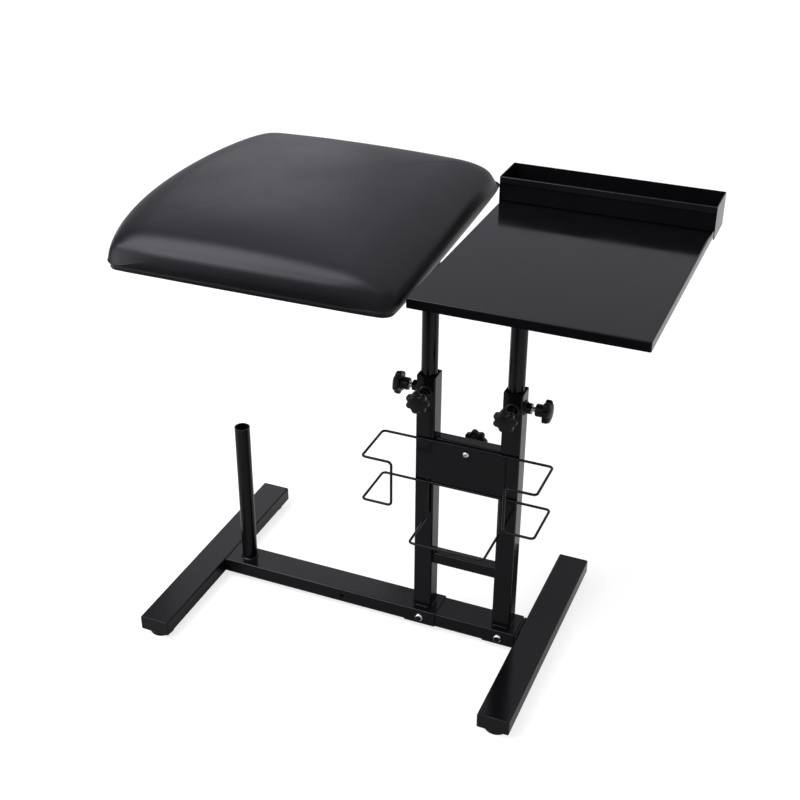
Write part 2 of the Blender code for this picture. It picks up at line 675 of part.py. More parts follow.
def pad_cover_form():
    """Vinyl cover: a skin over the padding, tucked in at the board and turned under it."""
    form = bmesh.new()
    hem = pad_outline(PAD_TUCK + PAD_HEM)
    edge = pad_outline(PAD_TUCK)
    lining = pad_outline(PAD_TUCK + PAD_COVER)
    board_top = PAD_COVER + SEAT + PAD_BOARD
    outside = [ring(form, hem, 0), ring(form, edge, 0), ring(form, edge, board_top / 2)]
    outside += padding_rings(form, 0, 0)
    inside = [ring(form, hem, PAD_COVER), ring(form, lining, PAD_COVER), ring(form, lining, board_top / 2)]
    inside += padding_rings(form, PAD_COVER, PAD_COVER)
    for layer in (outside, inside):
        for lower, upper in zip(layer, layer[1:]):
            join_rings(form, lower, upper)
        close_crown(form, layer[-1])
    join_rings(form, outside[0], inside[0])
    return form


def pad_foam_form():
    """Foam block between the board and the cover."""
    form = bmesh.new()
    gap = PAD_COVER + SEAT
    base_level = PAD_COVER + 2 * SEAT + PAD_BOARD
    layers = [ring(form, pad_outline(PAD_TUCK + gap), base_level)]
    layers += padding_rings(form, gap, gap)
    for lower, upper in zip(layers, layers[1:]):
        join_rings(form, lower, upper)
    form.faces.new(layers[0])
    close_crown(form, layers[-1])
    return form


def pad_tube_form(top):
    """Round tube whose top is cut to the pad's tilt, so that the plate seats on it all round."""
    form = round_tube(TUBE_DIAMETER, TUBE_WALL, top - PAD_TUBE_LENGTH, top)
    for vert in form.verts:
        if vert.co.z > top - PAD_TUBE_LENGTH / 2:
            along = vert.co.x * math.cos(PAD_YAW) + vert.co.y * math.sin(PAD_YAW)
            vert.co.z -= along * math.tan(PAD_TILT)
    return form


def build_pad(paint, steel, vinyl, foam, plywood):
    base_z = PAD_COVER - PAD_PLATE - SEAT
    axis = (LEFT_POST_X, POST_Y, 0)
    piece("pad_tube", pad_tube_form(PAD_BOTTOM + base_z / math.cos(PAD_TILT)), paint, empty("pad_mast", axis))
    head = empty("pad_head", (LEFT_POST_X, POST_Y, PAD_BOTTOM), (0, PAD_TILT, PAD_YAW))

    right = PAD_TUBE_FROM_EDGE - PAD_TUCK - PAD_HEM - PAD_PLATE_TO_HEM
    length = right + PAD_PLATE_REACH
    middle = right - length / 2
    sheet = rounded_rectangle(length, PAD_PLATE_WIDTH, PLATE_CORNER)
    plate = piece("pad_plate", stack([(sheet, 0), (sheet, PAD_PLATE)]), paint, head,
                  (middle, 0, PAD_COVER - PAD_PLATE))
    outline = pad_outline(PAD_TUCK + PAD_COVER + SEAT)
    board = piece("pad_board", stack([(outline, 0), (outline, PAD_BOARD)]), plywood, head, (0, 0, PAD_COVER + SEAT))
    piece("pad_foam", pad_foam_form(), foam, head)
    piece("pad_cover", pad_cover_form(), vinyl, head)

    screw_z = PAD_COVER - PAD_PLATE - SEAT
    shank = PAD_PLATE + 2 * SEAT + PAD_SCREW_IN_BOARD
    places = [(x, y) for x in (-1, 1) for y in (-1, 1)]
    for number, (sign_x, sign_y) in enumerate(places, 1):
        x = middle + sign_x * (length / 2 - SCREW_FROM_EDGE)
        y = sign_y * (PAD_PLATE_WIDTH / 2 - SCREW_FROM_EDGE)
        piece(f"pad_screw_{number}", headed_bolt(PAD_SCREW, shank, PAD_SCREW_HEAD, PAD_SCREW_HEAD_HEIGHT), steel, head,
              (x, y, screw_z))
        for holed in (plate, board):
            drill(holed, PAD_SCREW, shank + SEAT, head, (x, y, screw_z))


# Tray

def tray_pan_form():
    """Folded sheet: flat top at Z = 0 with flanges turned down on all four sides."""
    outer = rounded_rectangle(TRAY_WIDTH, TRAY_DEPTH, TRAY_CORNER)
    inner = rounded_rectangle(TRAY_WIDTH - 2 * TRAY_SHEET, TRAY_DEPTH - 2 * TRAY_SHEET, TRAY_CORNER / 2)
    return stack([(inner, -TRAY_SHEET), (inner, -TRAY_FLANGE), (outer, -TRAY_FLANGE), (outer, -TRAY_CORNER / 2),
                  (rounded_rectangle(TRAY_WIDTH - TRAY_CORNER, TRAY_DEPTH - TRAY_CORNER, TRAY_CORNER), 0)])


def trough_section():
    """Channel across the tray in its own plane: X runs to the back, Y is up; the front wall has a hem."""
    wall = TROUGH_SHEET
    front = TRAY_DEPTH / 2 - TROUGH_DEPTH
    back = TRAY_DEPTH / 2
    top = TROUGH_HEIGHT
    hem = top - TROUGH_HEM
    outline = [(front, SEAT), (back, SEAT), (back, top), (back - wall, top), (back - wall, SEAT + wall),
               (front + wall, SEAT + wall), (front + wall, top), (front - wall, top), (front - wall, hem),
               (front, hem)]
    return [Vector(point) for point in outline]


def build_tray(paint, steel):
    plate_top = -TRAY_SHEET - SEAT
    tube_top = plate_top - TRAY_PLATE - SEAT
    mast = empty("tray_mast", (RIGHT_POST_X, POST_Y, 0))
    head = empty("tray_head", (RIGHT_POST_X, POST_Y, TRAY_TOP))
    high = TRAY_TOP + tube_top
    piece("tray_tube", round_tube(TUBE_DIAMETER, TUBE_WALL, high - TRAY_TUBE_LENGTH, high), paint, mast)

    tray_left = TRAY_LEFT_X - RIGHT_POST_X
    tray_right = tray_left + TRAY_WIDTH
    tray_middle = (tray_left + tray_right) / 2
    piece("tray_pan", tray_pan_form(), paint, head, (tray_middle, 0, 0))
    sheet = rounded_rectangle(TRAY_PLATE_LENGTH, TRAY_PLATE_WIDTH, PLATE_CORNER)
    plate = piece("tray_plate", stack([(sheet, 0), (sheet, TRAY_PLATE)]), paint, head, (0, 0, plate_top - TRAY_PLATE))

    bolt_z = plate_top - TRAY_PLATE - SEAT
    shank = TRAY_PLATE + SEAT
    places = [(x, y) for x in (-1, 1) for y in (-1, 1)]
    for number, (sign_x, sign_y) in enumerate(places, 1):
        x = sign_x * (TRAY_PLATE_LENGTH / 2 - SCREW_FROM_EDGE)
        y = sign_y * (TRAY_PLATE_WIDTH / 2 - SCREW_FROM_EDGE)
        piece(f"tray_bolt_{number}", headed_bolt(TRAY_BOLT, shank, TRAY_BOLT_HEAD, TRAY_BOLT_HEAD_HEIGHT), steel, head,
              (x, y, bolt_z))
        drill(plate, TRAY_BOLT, TRAY_PLATE + 2 * SEAT, head, (x, y, bolt_z))

    left_end = tray_left - SEAT
    right_end = tray_right + TROUGH_SLACK
    # the section stands across the tray: its X lies along Y, and its Y points up
    channel = stack([([Vector((point.y, point.x)) for point in trough_section()], level)
                     for level in (0, right_end - left_end - 2 * SEAT)])
    piece("trough", channel, paint, head, (right_end - SEAT, 0, 0), POINT_LEFT)
    front = TRAY_DEPTH / 2 - TROUGH_DEPTH - TROUGH_SHEET
    depth = TRAY_DEPTH / 2 - front
    height = TROUGH_HEIGHT + TROUGH_HOOK
    end_sheet = rounded_rectangle(height, depth, TRAY_CORNER)
    for side, x, turn in (("left", left_end, POINT_LEFT), ("right", right_end, POINT_RIGHT)):
        piece(f"trough_{side}_end", stack([(end_sheet, 0), (end_sheet, TROUGH_SHEET)]), paint, head,
              (x, front + depth / 2, TROUGH_HEIGHT - height / 2), turn)


def main():
    clear_scene()
    paint = finish_material("gloss_black_paint", (0.012, 0.012, 0.013), 0.22, 0.0)
    plastic = finish_material("black_plastic", (0.014, 0.014, 0.014), 0.45)
    steel = finish_material("zinc_steel", (0.62, 0.62, 0.6), 0.3, 1.0)
    vinyl = finish_material("black_vinyl", (0.022, 0.022, 0.024), 0.42)
    foam = finish_material("foam", (0.75, 0.7, 0.55), 0.9)
    plywood = finish_material("plywood", (0.42, 0.29, 0.17), 0.7)

    base = empty("base")
    build_feet(base, paint, plastic)
    beam = build_beam(base, paint)
    posts = build_posts(base, beam, paint, steel)
    bars = build_crossbars(base, paint)
    build_clamps(base, posts, paint, plastic, steel)
    build_rack(base, bars["upper"], paint, plastic, steel)
    build_pad(paint, steel, vinyl, foam, plywood)
    build_tray(paint, steel)


main()
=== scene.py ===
# %% [markdown]
# A tattoo workstation, dressed for its portrait: a black steel stand with a padded rest and a folded steel
# tray, each on a round tube that slides in a square post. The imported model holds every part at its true
# size and place. This lesson loads it as a fixed frame, builds finer pieces over it with bmesh operators,
# and gives each piece its finish.

# %% Load the frame
import json
import math

import bmesh
import bpy
from mathutils import Euler, Matrix, Vector


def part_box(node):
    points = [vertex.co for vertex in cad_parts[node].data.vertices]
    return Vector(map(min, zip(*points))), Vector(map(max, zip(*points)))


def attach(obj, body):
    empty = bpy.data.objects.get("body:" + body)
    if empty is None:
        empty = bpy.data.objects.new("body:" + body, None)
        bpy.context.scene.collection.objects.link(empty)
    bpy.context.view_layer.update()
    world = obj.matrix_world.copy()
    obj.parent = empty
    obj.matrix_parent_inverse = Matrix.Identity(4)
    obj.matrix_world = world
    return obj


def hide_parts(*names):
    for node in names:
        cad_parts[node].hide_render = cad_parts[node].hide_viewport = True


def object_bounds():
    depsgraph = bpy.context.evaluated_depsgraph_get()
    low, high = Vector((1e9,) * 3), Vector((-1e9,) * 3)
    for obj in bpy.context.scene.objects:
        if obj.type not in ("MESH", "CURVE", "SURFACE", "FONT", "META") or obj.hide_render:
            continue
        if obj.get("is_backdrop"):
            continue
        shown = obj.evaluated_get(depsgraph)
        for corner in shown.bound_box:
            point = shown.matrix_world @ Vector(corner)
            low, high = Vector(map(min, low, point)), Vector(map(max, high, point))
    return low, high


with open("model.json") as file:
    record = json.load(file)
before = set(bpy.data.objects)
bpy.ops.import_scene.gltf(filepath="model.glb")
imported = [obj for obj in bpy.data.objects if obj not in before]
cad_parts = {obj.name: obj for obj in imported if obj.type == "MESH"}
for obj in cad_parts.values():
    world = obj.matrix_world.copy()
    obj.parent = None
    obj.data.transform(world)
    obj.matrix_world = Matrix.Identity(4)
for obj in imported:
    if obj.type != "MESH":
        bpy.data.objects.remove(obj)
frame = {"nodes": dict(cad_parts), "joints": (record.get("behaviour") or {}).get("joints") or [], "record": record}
cad_low, cad_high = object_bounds()
scene = bpy.context.scene
MM = 0.001

# %% [markdown]
# The camera stands to the right of the front and looks down by about thirty degrees, to show the rest and
# the tray together. Its place and lens were solved from the straight edges of the stand. The Standard view
# transform keeps colours as they are written.

# %% Camera
CAMERA_AT = (0.6256, -1.5546, 1.3604)
walk_round = Matrix.Rotation(math.radians(22.395), 4, "Z")
look_down = Matrix.Rotation(math.radians(60.485), 4, "X")
roll = Matrix.Rotation(math.radians(0.354), 4, "Z")
scene.view_settings.view_transform = "Standard"
lens = bpy.data.cameras.new("portrait_camera")
lens.lens = 58.09
lens.sensor_width = 36.0
camera = bpy.data.objects.new("portrait_camera", lens)
camera.matrix_world = Matrix.Translation(CAMERA_AT) @ walk_round @ look_down @ roll
scene.collection.objects.link(camera)
scene.camera = camera
print("camera at", [round(value, 3) for value in camera.location])

# %% [markdown]
# A node tree reads best when each line adds one node and wires it up. The first helper adds a node, sets
# its properties and fills its inputs: a number or colour becomes the socket's value, and a socket becomes a
# link. The others add the kinds of node that come up again and again.

# %% Helpers for node trees
def add_node(tree, kind, inputs=None, **properties):
    node = tree.nodes.new("ShaderNode" + kind)
    for key, value in properties.items():
        setattr(node, key, value)
    for key, value in (inputs or {}).items():
        if isinstance(value, bpy.types.NodeSocket):
            tree.links.new(value, node.inputs[key])
        else:
            node.inputs[key].default_value = value
    return node


def maths(tree, operation, *values):
    return add_node(tree, "Math", dict(enumerate(values)), operation=operation).outputs[0]


def remap(tree, value, start, end, first=0.0, last=1.0):
    """Turn the range from start to end into the range from first to last."""
    inputs = {"Value": value, "From Min": start, "From Max": end, "To Min": first, "To Max": last}
    return add_node(tree, "MapRange", inputs).outputs[0]


def mix_colours(tree, factor, first, second):
    return add_node(tree, "Mix", {0: factor, 6: (*first, 1), 7: (*second, 1)}, data_type="RGBA").outputs[2]


def coordinates(tree, kind="Object"):
    return add_node(tree, "TexCoord").outputs[kind]


def position(tree, kind="Object"):
    return add_node(tree, "SeparateXYZ", {0: coordinates(tree, kind)}).outputs


def noise(tree, stretch=None, **inputs):
    """Noise, drawn out along the directions in which the stretch is small."""
    place = coordinates(tree)
    if stretch is not None:
        place = add_node(tree, "VectorMath", {0: place, 1: stretch}, operation="MULTIPLY").outputs[0]
    return add_node(tree, "TexNoise", {"Vector": place, **inputs}).outputs["Fac"]

# %% [markdown]
# The studio is a white room with an even soft light. Light Path shows the camera plain white without
# putting more light on the object, and gives mirror rays a level of their own, which sets the sheen on the
# black paint. It falls off to the left, as in a studio with one dark side, grows towards the ceiling, and
# is a little cool, as daylight lamps are.

# %% World
ROOM = 0.75
MIRRORED_ROOM = 0.7
MIRRORED_LEFT = 0.2
OVERHEAD = 1.1
DARK_SIDE = (-0.74, -0.42)
CEILING = (0.6, 0.95)
WHITE = (1, 1, 1)
COOL = (0.92, 0.91, 1.0)
world = bpy.data.worlds.new("white_studio")
world.use_nodes = True
scene.world = world
sky = world.node_tree
sky.nodes.clear()
ray = add_node(sky, "LightPath").outputs
heading = position(sky, "Generated")
mirrored = remap(sky, heading["X"], *DARK_SIDE, MIRRORED_LEFT - ROOM, MIRRORED_ROOM - ROOM)
mirrored = maths(sky, "ADD", mirrored, remap(sky, heading["Z"], *CEILING, 0.0, OVERHEAD))
level = maths(sky, "MULTIPLY_ADD", ray["Is Camera Ray"], 1 - ROOM, ROOM)
level = maths(sky, "MULTIPLY_ADD", ray["Is Glossy Ray"], mirrored, level)
tint = mix_colours(sky, ray["Is Glossy Ray"], WHITE, COOL)
room = add_node(sky, "Background", {"Color": tint, "Strength": level})
add_node(sky, "OutputWorld", {"Surface": room.outputs[0]})
print("world: even room light", ROOM)

# %% [markdown]
# The floor is one large pale sheet. It takes the soft shadow under the stand, and glows for camera rays, so
# that it comes out as white as the room. Mirror rays get the glow only behind the stand and to its right,
# and lose the floor a metre in front: what faces the camera stays black, while the right sides of the tubes
# mirror the bright floor beyond them.

# %% Floor
FLOOR_SIZE = 15
FLOOR_GREY = (0.35, 0.35, 0.35)
FLOOR_GLOW = 0.74
MIRRORED_GLOW = 0.48
BEHIND = (0.0, 0.3)
BESIDE = (0.22, 0.3)
DARK_END = (-1.2, -0.75)
BLACK = (0, 0, 0)


def new_object(name, form):
    """Turn a bmesh into an object of the scene."""
    mesh = bpy.data.meshes.new(name)
    form.to_mesh(mesh)
    form.free()
    thing = bpy.data.objects.new(name, mesh)
    scene.collection.objects.link(thing)
    return thing


floor_paint = bpy.data.materials.new("pale_floor")
floor_paint.use_nodes = True
tree = floor_paint.node_tree
tree.nodes.clear()
ray = add_node(tree, "LightPath").outputs
spot = position(tree)
lit = maths(tree, "MAXIMUM", remap(tree, spot["Y"], *BEHIND), remap(tree, spot["X"], *BESIDE))
lit = maths(tree, "MULTIPLY", maths(tree, "MULTIPLY", lit, MIRRORED_GLOW), ray["Is Glossy Ray"])
lift = maths(tree, "MULTIPLY_ADD", ray["Is Camera Ray"], FLOOR_GLOW, lit)
glow = add_node(tree, "Emission", {"Color": (*WHITE, 1), "Strength": lift})
dim = maths(tree, "MULTIPLY", remap(tree, spot["Y"], *DARK_END, 1.0, 0.0), ray["Is Glossy Ray"])
matt = add_node(tree, "BsdfDiffuse", {"Color": mix_colours(tree, dim, FLOOR_GREY, BLACK)})
both = add_node(tree, "AddShader", {0: matt.outputs[0], 1: glow.outputs[0]})
add_node(tree, "OutputMaterial", {"Surface": both.outputs[0]})

form = bmesh.new()
bmesh.ops.create_grid(form, x_segments=1, y_segments=1, size=FLOOR_SIZE)
floor = new_object("studio_floor", form)
floor.data.materials.append(floor_paint)
floor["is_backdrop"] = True
print("floor:", [round(value, 1) for value in floor.dimensions])

# %% [markdown]
# Three soft boxes shape the black surfaces. One lights the front of the rest at its left end. One above
# draws the long highlight along the shoulder of the rest and lines the folded front edges. A weak one
# behind brightens the left foot bar.

# %% Soft boxes
def soft_box(name, place, aim_at, size, power):
    lamp = bpy.data.lights.new(name, "AREA")
    lamp.shape = "SQUARE"
    lamp.size = size
    lamp.energy = power
    lamp.color = COOL
    box = bpy.data.objects.new(name, lamp)
    heading = Vector(aim_at) - Vector(place)
    box.matrix_world = Matrix.Translation(place) @ heading.to_track_quat("-Z", "Y").to_matrix().to_4x4()
    scene.collection.objects.link(box)
    print(name, power, "W")


soft_box("front_left_box", (-1.66, -1.27, 0.7), (-0.3, -0.25, 0.69), size=1.1, power=18)
soft_box("upper_left_box", (-0.9, -0.86, 1.92), (-0.1, -0.1, 0.69), size=1.4, power=52)
soft_box("back_left_box", (-1.5, 2.3, 1.65), (-0.3, 0.0, 0.1), size=0.9, power=2.2)

# %% [markdown]
# Several finishes share two effects. Nothing black is evenly glossy: handling and wiping leave broad soft
# patches. And no coat is quite flat: paint levels into a faint orange peel, and plastic copies the grain of
# its mould. Each effect is a node group with named sockets, placed with its own values.

# %% Shared effects
def new_group(name, inputs, output):
    group = bpy.data.node_groups.new(name, "ShaderNodeTree")
    for label in inputs:
        group.interface.new_socket(label, in_out="INPUT", socket_type="NodeSocketFloat")
    group.interface.new_socket(output, in_out="OUTPUT", socket_type="NodeSocketFloat")
    return group, group.nodes.new("NodeGroupInput").outputs, group.nodes.new("NodeGroupOutput").inputs


GLOSS_INPUTS = ("Scale", "Smoothest", "Roughest")
RELIEF_INPUTS = ("Scale", "Stretch")
patchy_gloss, given, result = new_group("patchy_gloss", GLOSS_INPUTS, "Roughness")
patches = noise(patchy_gloss, Scale=given["Scale"], Detail=5, Roughness=0.65)
ranged = remap(patchy_gloss, patches, 0.3, 0.7, given["Smoothest"], given["Roughest"])
patchy_gloss.links.new(ranged, result["Roughness"])

fine_relief, given, result = new_group("fine_relief", RELIEF_INPUTS, "Height")
along = add_node(fine_relief, "CombineXYZ", {"X": 1, "Y": 1, "Z": given["Stretch"]}).outputs[0]
bumps = noise(fine_relief, along, Scale=given["Scale"], Detail=2, Roughness=0.5)
fine_relief.links.new(bumps, result["Height"])
print("node groups:", [group.name for group in bpy.data.node_groups])

# %% [markdown]
# Every finish starts the same way: a Principled shader, a patchy roughness and a fine relief through a Bump node,
# with room for more relief on top. The record's slot is kept on the material.

# %% Helpers for finishes
def add_bump(tree, shader, height, strength, distance):
    """Lay one more relief over those that the shader already has."""
    bump = add_node(tree, "Bump", {"Strength": strength, "Distance": distance, "Height": height})
    for link in list(shader["Normal"].links):
        tree.links.new(link.from_socket, bump.inputs["Normal"])
    tree.links.new(bump.outputs["Normal"], shader["Normal"])


def new_finish(slot, specular, gloss, relief, bump, metallic=0.0):
    """Gloss is a scale and two roughnesses, relief a scale and a stretch, bump a strength and a height."""
    finish = bpy.data.materials.new(slot + "_finish")
    finish.use_nodes = True
    finish["slot"] = slot
    tree = finish.node_tree
    shader = tree.nodes["Principled BSDF"].inputs
    shader["Metallic"].default_value = metallic
    shader["Specular IOR Level"].default_value = specular
    patchy = add_node(tree, "Group", dict(zip(GLOSS_INPUTS, gloss)), node_tree=patchy_gloss)
    tree.links.new(patchy.outputs["Roughness"], shader["Roughness"])
    grain = add_node(tree, "Group", dict(zip(RELIEF_INPUTS, relief)), node_tree=fine_relief)
    add_bump(tree, shader, grain.outputs["Height"], *bump)
    print(finish.name)
    return finish, tree, shader


def shade_between(tree, shader, first, second, scale):
    drift = noise(tree, Scale=scale, Detail=4)
    tree.links.new(mix_colours(tree, drift, first, second), shader["Base Color"])

# %% [markdown]
# The steel is powder coated in gloss black, which mirrors the room with a slight blur and a faint orange
# peel. The black is so deep that nearly all that shows is reflection: dark where a surface faces the
# camera, bright where it turns away.

# %% Gloss black paint
paint, tree, shader = new_finish("gloss_black_paint", specular=0.17, gloss=(9, 0.09, 0.17), relief=(330, 1),
                                 bump=(0.05, 0.0004))
shade_between(tree, shader, (0.002, 0.002, 0.0025), (0.004, 0.004, 0.0045), scale=24)

# %% [markdown]
# Knobs, caps and feet are moulded plastic. The mould's fine grain makes them satin, so their lobes show
# soft highlights instead of sharp mirror images.

# %% Black plastic
plastic, tree, shader = new_finish("black_plastic", specular=0.14, gloss=(30, 0.26, 0.38), relief=(1400, 1),
                                   bump=(0.12, 0.0002))
shade_between(tree, shader, (0.004, 0.004, 0.004), (0.009, 0.009, 0.009), scale=60)

# %% [markdown]
# Bolts, studs and nuts are zinc plated. Plating keeps the drawn lines of the steel below, so the relief is
# stretched, and the colour drifts between a cool and a warm grey.

# %% Zinc plated steel
zinc, tree, shader = new_finish("zinc_steel", specular=0.5, gloss=(160, 0.16, 0.32), relief=(900, 0.15),
                                bump=(0.1, 0.0002), metallic=1.0)
shade_between(tree, shader, (0.6, 0.61, 0.62), (0.7, 0.68, 0.64), scale=90)

# %% [markdown]
# The rest is covered in smooth artificial leather. Close up it has small rounded cells, which Voronoi
# gives, and fine creases where it is pulled down over the board: a noise drawn out along the side and let
# in only near the bottom edge.

# %% Black vinyl
CELLS = 800
CREASED = (0.678, 0.7)
vinyl, tree, shader = new_finish("black_vinyl", specular=0.17, gloss=(7, 0.32, 0.4), relief=(260, 1),
                                 bump=(0.1, 0.0004))
shade_between(tree, shader, (0.002, 0.002, 0.003), (0.004, 0.004, 0.005), scale=18)
cells = add_node(tree, "TexVoronoi", {"Vector": coordinates(tree), "Scale": CELLS})
add_bump(tree, shader, cells.outputs["Distance"], strength=0.1, distance=0.0003)
low_down = remap(tree, position(tree)["Z"], *CREASED, 1.0, 0.0)
creases = maths(tree, "MULTIPLY", noise(tree, (14, 14, 330), Scale=1, Detail=3), low_down)
add_bump(tree, shader, creases, strength=0.25, distance=0.0015)

# %% [markdown]
# The board under the padding is raw plywood, seen only from below. A noise drawn out along the board gives
# the long grain of its face ply.

# %% Plywood
plywood, tree, shader = new_finish("plywood", specular=0.4, gloss=(20, 0.55, 0.75), relief=(300, 1),
                                   bump=(0.2, 0.0005))
fibres = remap(tree, noise(tree, (4, 90, 90), Scale=1, Detail=6, Distortion=0.6), 0.35, 0.65)
tree.links.new(mix_colours(tree, fibres, (0.3, 0.19, 0.1), (0.52, 0.37, 0.22)), shader["Base Color"])

# %% [markdown]
# A bmesh becomes a piece of the object in one place: smooth shading with crisp folds, a finish and a body to ride
# on, and the imported nodes that it stands for are hidden. Weighted normals keep broad faces flat next to small
# rounded edges.

# %% Helper that finishes a piece
CRISP = math.radians(40)


def finish_piece(form, name, finish, body, *stands_for):
    bmesh.ops.remove_doubles(form, verts=form.verts, dist=0.002 * MM)
    piece = new_object(name, form)
    piece.data.shade_smooth()
    piece.data.set_sharp_from_angle(angle=CRISP)
    piece.data.materials.append(finish)
    piece.modifiers.new("flat_faces", "WEIGHTED_NORMAL").keep_sharp = True
    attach(piece, body)
    if stands_for:
        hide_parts(*stands_for)
    print(f"{name}: {len(piece.data.polygons)} faces")
    return piece

# %% [markdown]
# Square tube could be drawn as an outline and extruded, but a cube is quicker: stretch it to the box of its
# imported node, open both ends, round the long edges as the rolling mill does, and give the skin its wall
# with solidify. A small bevel takes the edge off the cut ends, where the light catches.

# %% Helpers for tube and block shapes
TUBE_WALL = 1.5 * MM
TUBE_CORNER = 2.5 * MM
CUT_EDGE = 0.35 * MM


def block(low, high):
    form = bmesh.new()
    bmesh.ops.create_cube(form, size=1)
    bmesh.ops.scale(form, vec=high - low, verts=form.verts)
    bmesh.ops.translate(form, vec=(low + high) / 2, verts=form.verts)
    form.normal_update()
    return form


def edges_along(form, axis):
    return [edge for edge in form.edges
            if abs((edge.verts[1].co - edge.verts[0].co).normalized()[axis]) > 0.99]


def rim_edges(form, axis):
    """Edges between a flat end, square to the axis, and the walls that run up to it."""
    chosen = []
    for edge in form.edges:
        facing = sorted(abs(face.normal[axis]) for face in edge.link_faces)
        if len(facing) == 2 and facing[0] < 0.1 and facing[1] > 0.9:
            chosen.append(edge)
    return chosen


def round_over(form, geom, radius, segments, affect="EDGES"):
    bmesh.ops.bevel(form, geom=geom, offset=radius, offset_type="OFFSET", segments=segments, profile=0.5,
                    affect=affect, material=-1)
    form.normal_update()


def square_tube_skin(node, axis):
    form = block(*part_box(node))
    ends = [face for face in form.faces if abs(face.normal[axis]) > 0.9]
    bmesh.ops.delete(form, geom=ends, context="FACES_ONLY")
    round_over(form, edges_along(form, axis), TUBE_CORNER, 6)
    return form


def thicken(form, wall):
    bmesh.ops.solidify(form, geom=form.faces[:], thickness=wall)
    form.normal_update()
    return form


def finish_tube(form, axis):
    thicken(form, TUBE_WALL)
    round_over(form, rim_edges(form, axis), CUT_EDGE, 2)
    return form


def face_outwards(form):
    bmesh.ops.recalc_face_normals(form, faces=form.faces)

# %% [markdown]
# The base is an H on the floor: two flat foot bars, and a beam between them. The posts stand on the beam
# and two short crossbars tie them together, so that the stand does not rack sideways.

# %% Foot bars, posts and crossbars
for node, axis in (("left_foot_bar", 1), ("right_foot_bar", 1), ("left_post", 2), ("right_post", 2),
                   ("lower_crossbar", 0), ("upper_crossbar", 0)):
    finish_piece(finish_tube(square_tube_skin(node, axis), axis), node + "_tube", paint, "base", node)

# %% [markdown]
# The beam has one spare hole in its front. To punch it, four planes cut a small square in the skin, the
# square is taken out, and its edge is bridged to a circle. Solidify then gives the hole its wall as well.

# %% Helper that punches a hole
RIGHT = Vector((1, 0, 0))
UP = Vector((0, 0, 1))


def punch(form, centre, radius, rise=0.0):
    """Cut a round hole, or a slot that rises, in a flat skin that faces the front."""
    margin = 1.8 * radius
    for direction, reach in ((RIGHT, margin), (-RIGHT, margin), (UP, margin + rise), (-UP, margin)):
        everything = form.verts[:] + form.edges[:] + form.faces[:]
        bmesh.ops.bisect_plane(form, geom=everything, plane_co=centre + direction * reach,
                               plane_no=direction, dist=0.001 * MM)
    middle = centre + UP * rise / 2
    window = min(form.faces, key=lambda face: (face.calc_center_median() - middle).length)
    frame_edges = window.edges[:]
    turn = Matrix((RIGHT, UP, RIGHT.cross(UP))).transposed().to_4x4()
    ring = bmesh.ops.create_circle(form, cap_ends=False, radius=radius, segments=24,
                                   matrix=Matrix.Translation(centre) @ turn)["verts"]
    upper = [vert for vert in ring if vert.co.z - centre.z > 0.01 * MM]
    bmesh.ops.translate(form, vec=UP * rise, verts=upper)
    ring_edges = list({edge for vert in ring for edge in vert.link_edges})
    bmesh.ops.delete(form, geom=[window], context="FACES_ONLY")
    bmesh.ops.bridge_loops(form, edges=frame_edges + ring_edges)
    form.normal_update()


def centre_of(node):
    low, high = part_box(node)
    return (low + high) / 2


def end_of(node, direction):
    """The middle of that side of a node's box that looks along a direction."""
    low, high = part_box(node)
    return centre_of(node) + direction * abs((high - low).dot(direction)) / 2

# %% Beam with its spare hole
SPARE_HOLE = 4 * MM
HOLE_FROM_FOOT = 244 * MM
beam_low, beam_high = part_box("main_beam")
beam = square_tube_skin("main_beam", 0)
hole_x = centre_of("left_foot_bar").x + HOLE_FROM_FOOT
punch(beam, Vector((hole_x, beam_low.y, centre_of("main_beam").z)), SPARE_HOLE)
face_outwards(beam)
finish_piece(finish_tube(beam, 0), "main_beam_tube", paint, "base", "main_beam")

# %% [markdown]
# Flat plates are laser cut: square sides, rounded corners, and an edge that the paint softens. One helper
# makes them all from a box, rounding first the corners and then both rims.

# %% Plates
PLATE_EDGE = 0.4 * MM
PLATE_CORNER = 10 * MM
END_CORNER = 2 * MM


def plate(low, high, axis, corner, edge):
    form = block(low, high)
    round_over(form, edges_along(form, axis), corner, 6)
    round_over(form, rim_edges(form, axis), edge, 2)
    return form


for node, body, axis, corner, edge in (("beam_end_plate", "base", 0, TUBE_CORNER, PLATE_EDGE),
                                       ("tray_plate", "tray_head", 2, PLATE_CORNER, PLATE_EDGE),
                                       ("trough_left_end", "tray_head", 0, END_CORNER, CUT_EDGE),
                                       ("trough_right_end", "tray_head", 0, END_CORNER, CUT_EDGE)):
    finish_piece(plate(*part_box(node), axis, corner, edge), node + "_sheet", paint, body, node)

# %% [markdown]
# Each foot bar is closed by a plastic cap: a flange as large as the bar, and a plug that presses into the
# bore. The flange is a bevelled block, and the plug is its inner face, inset by the wall and extruded.

# %% End caps
FLANGE = 2.5 * MM
FLANGE_EDGE = 1.3 * MM
PLUG_INSET = 1.8 * MM


def verts_of(geom):
    return [item for item in geom if isinstance(item, bmesh.types.BMVert)]


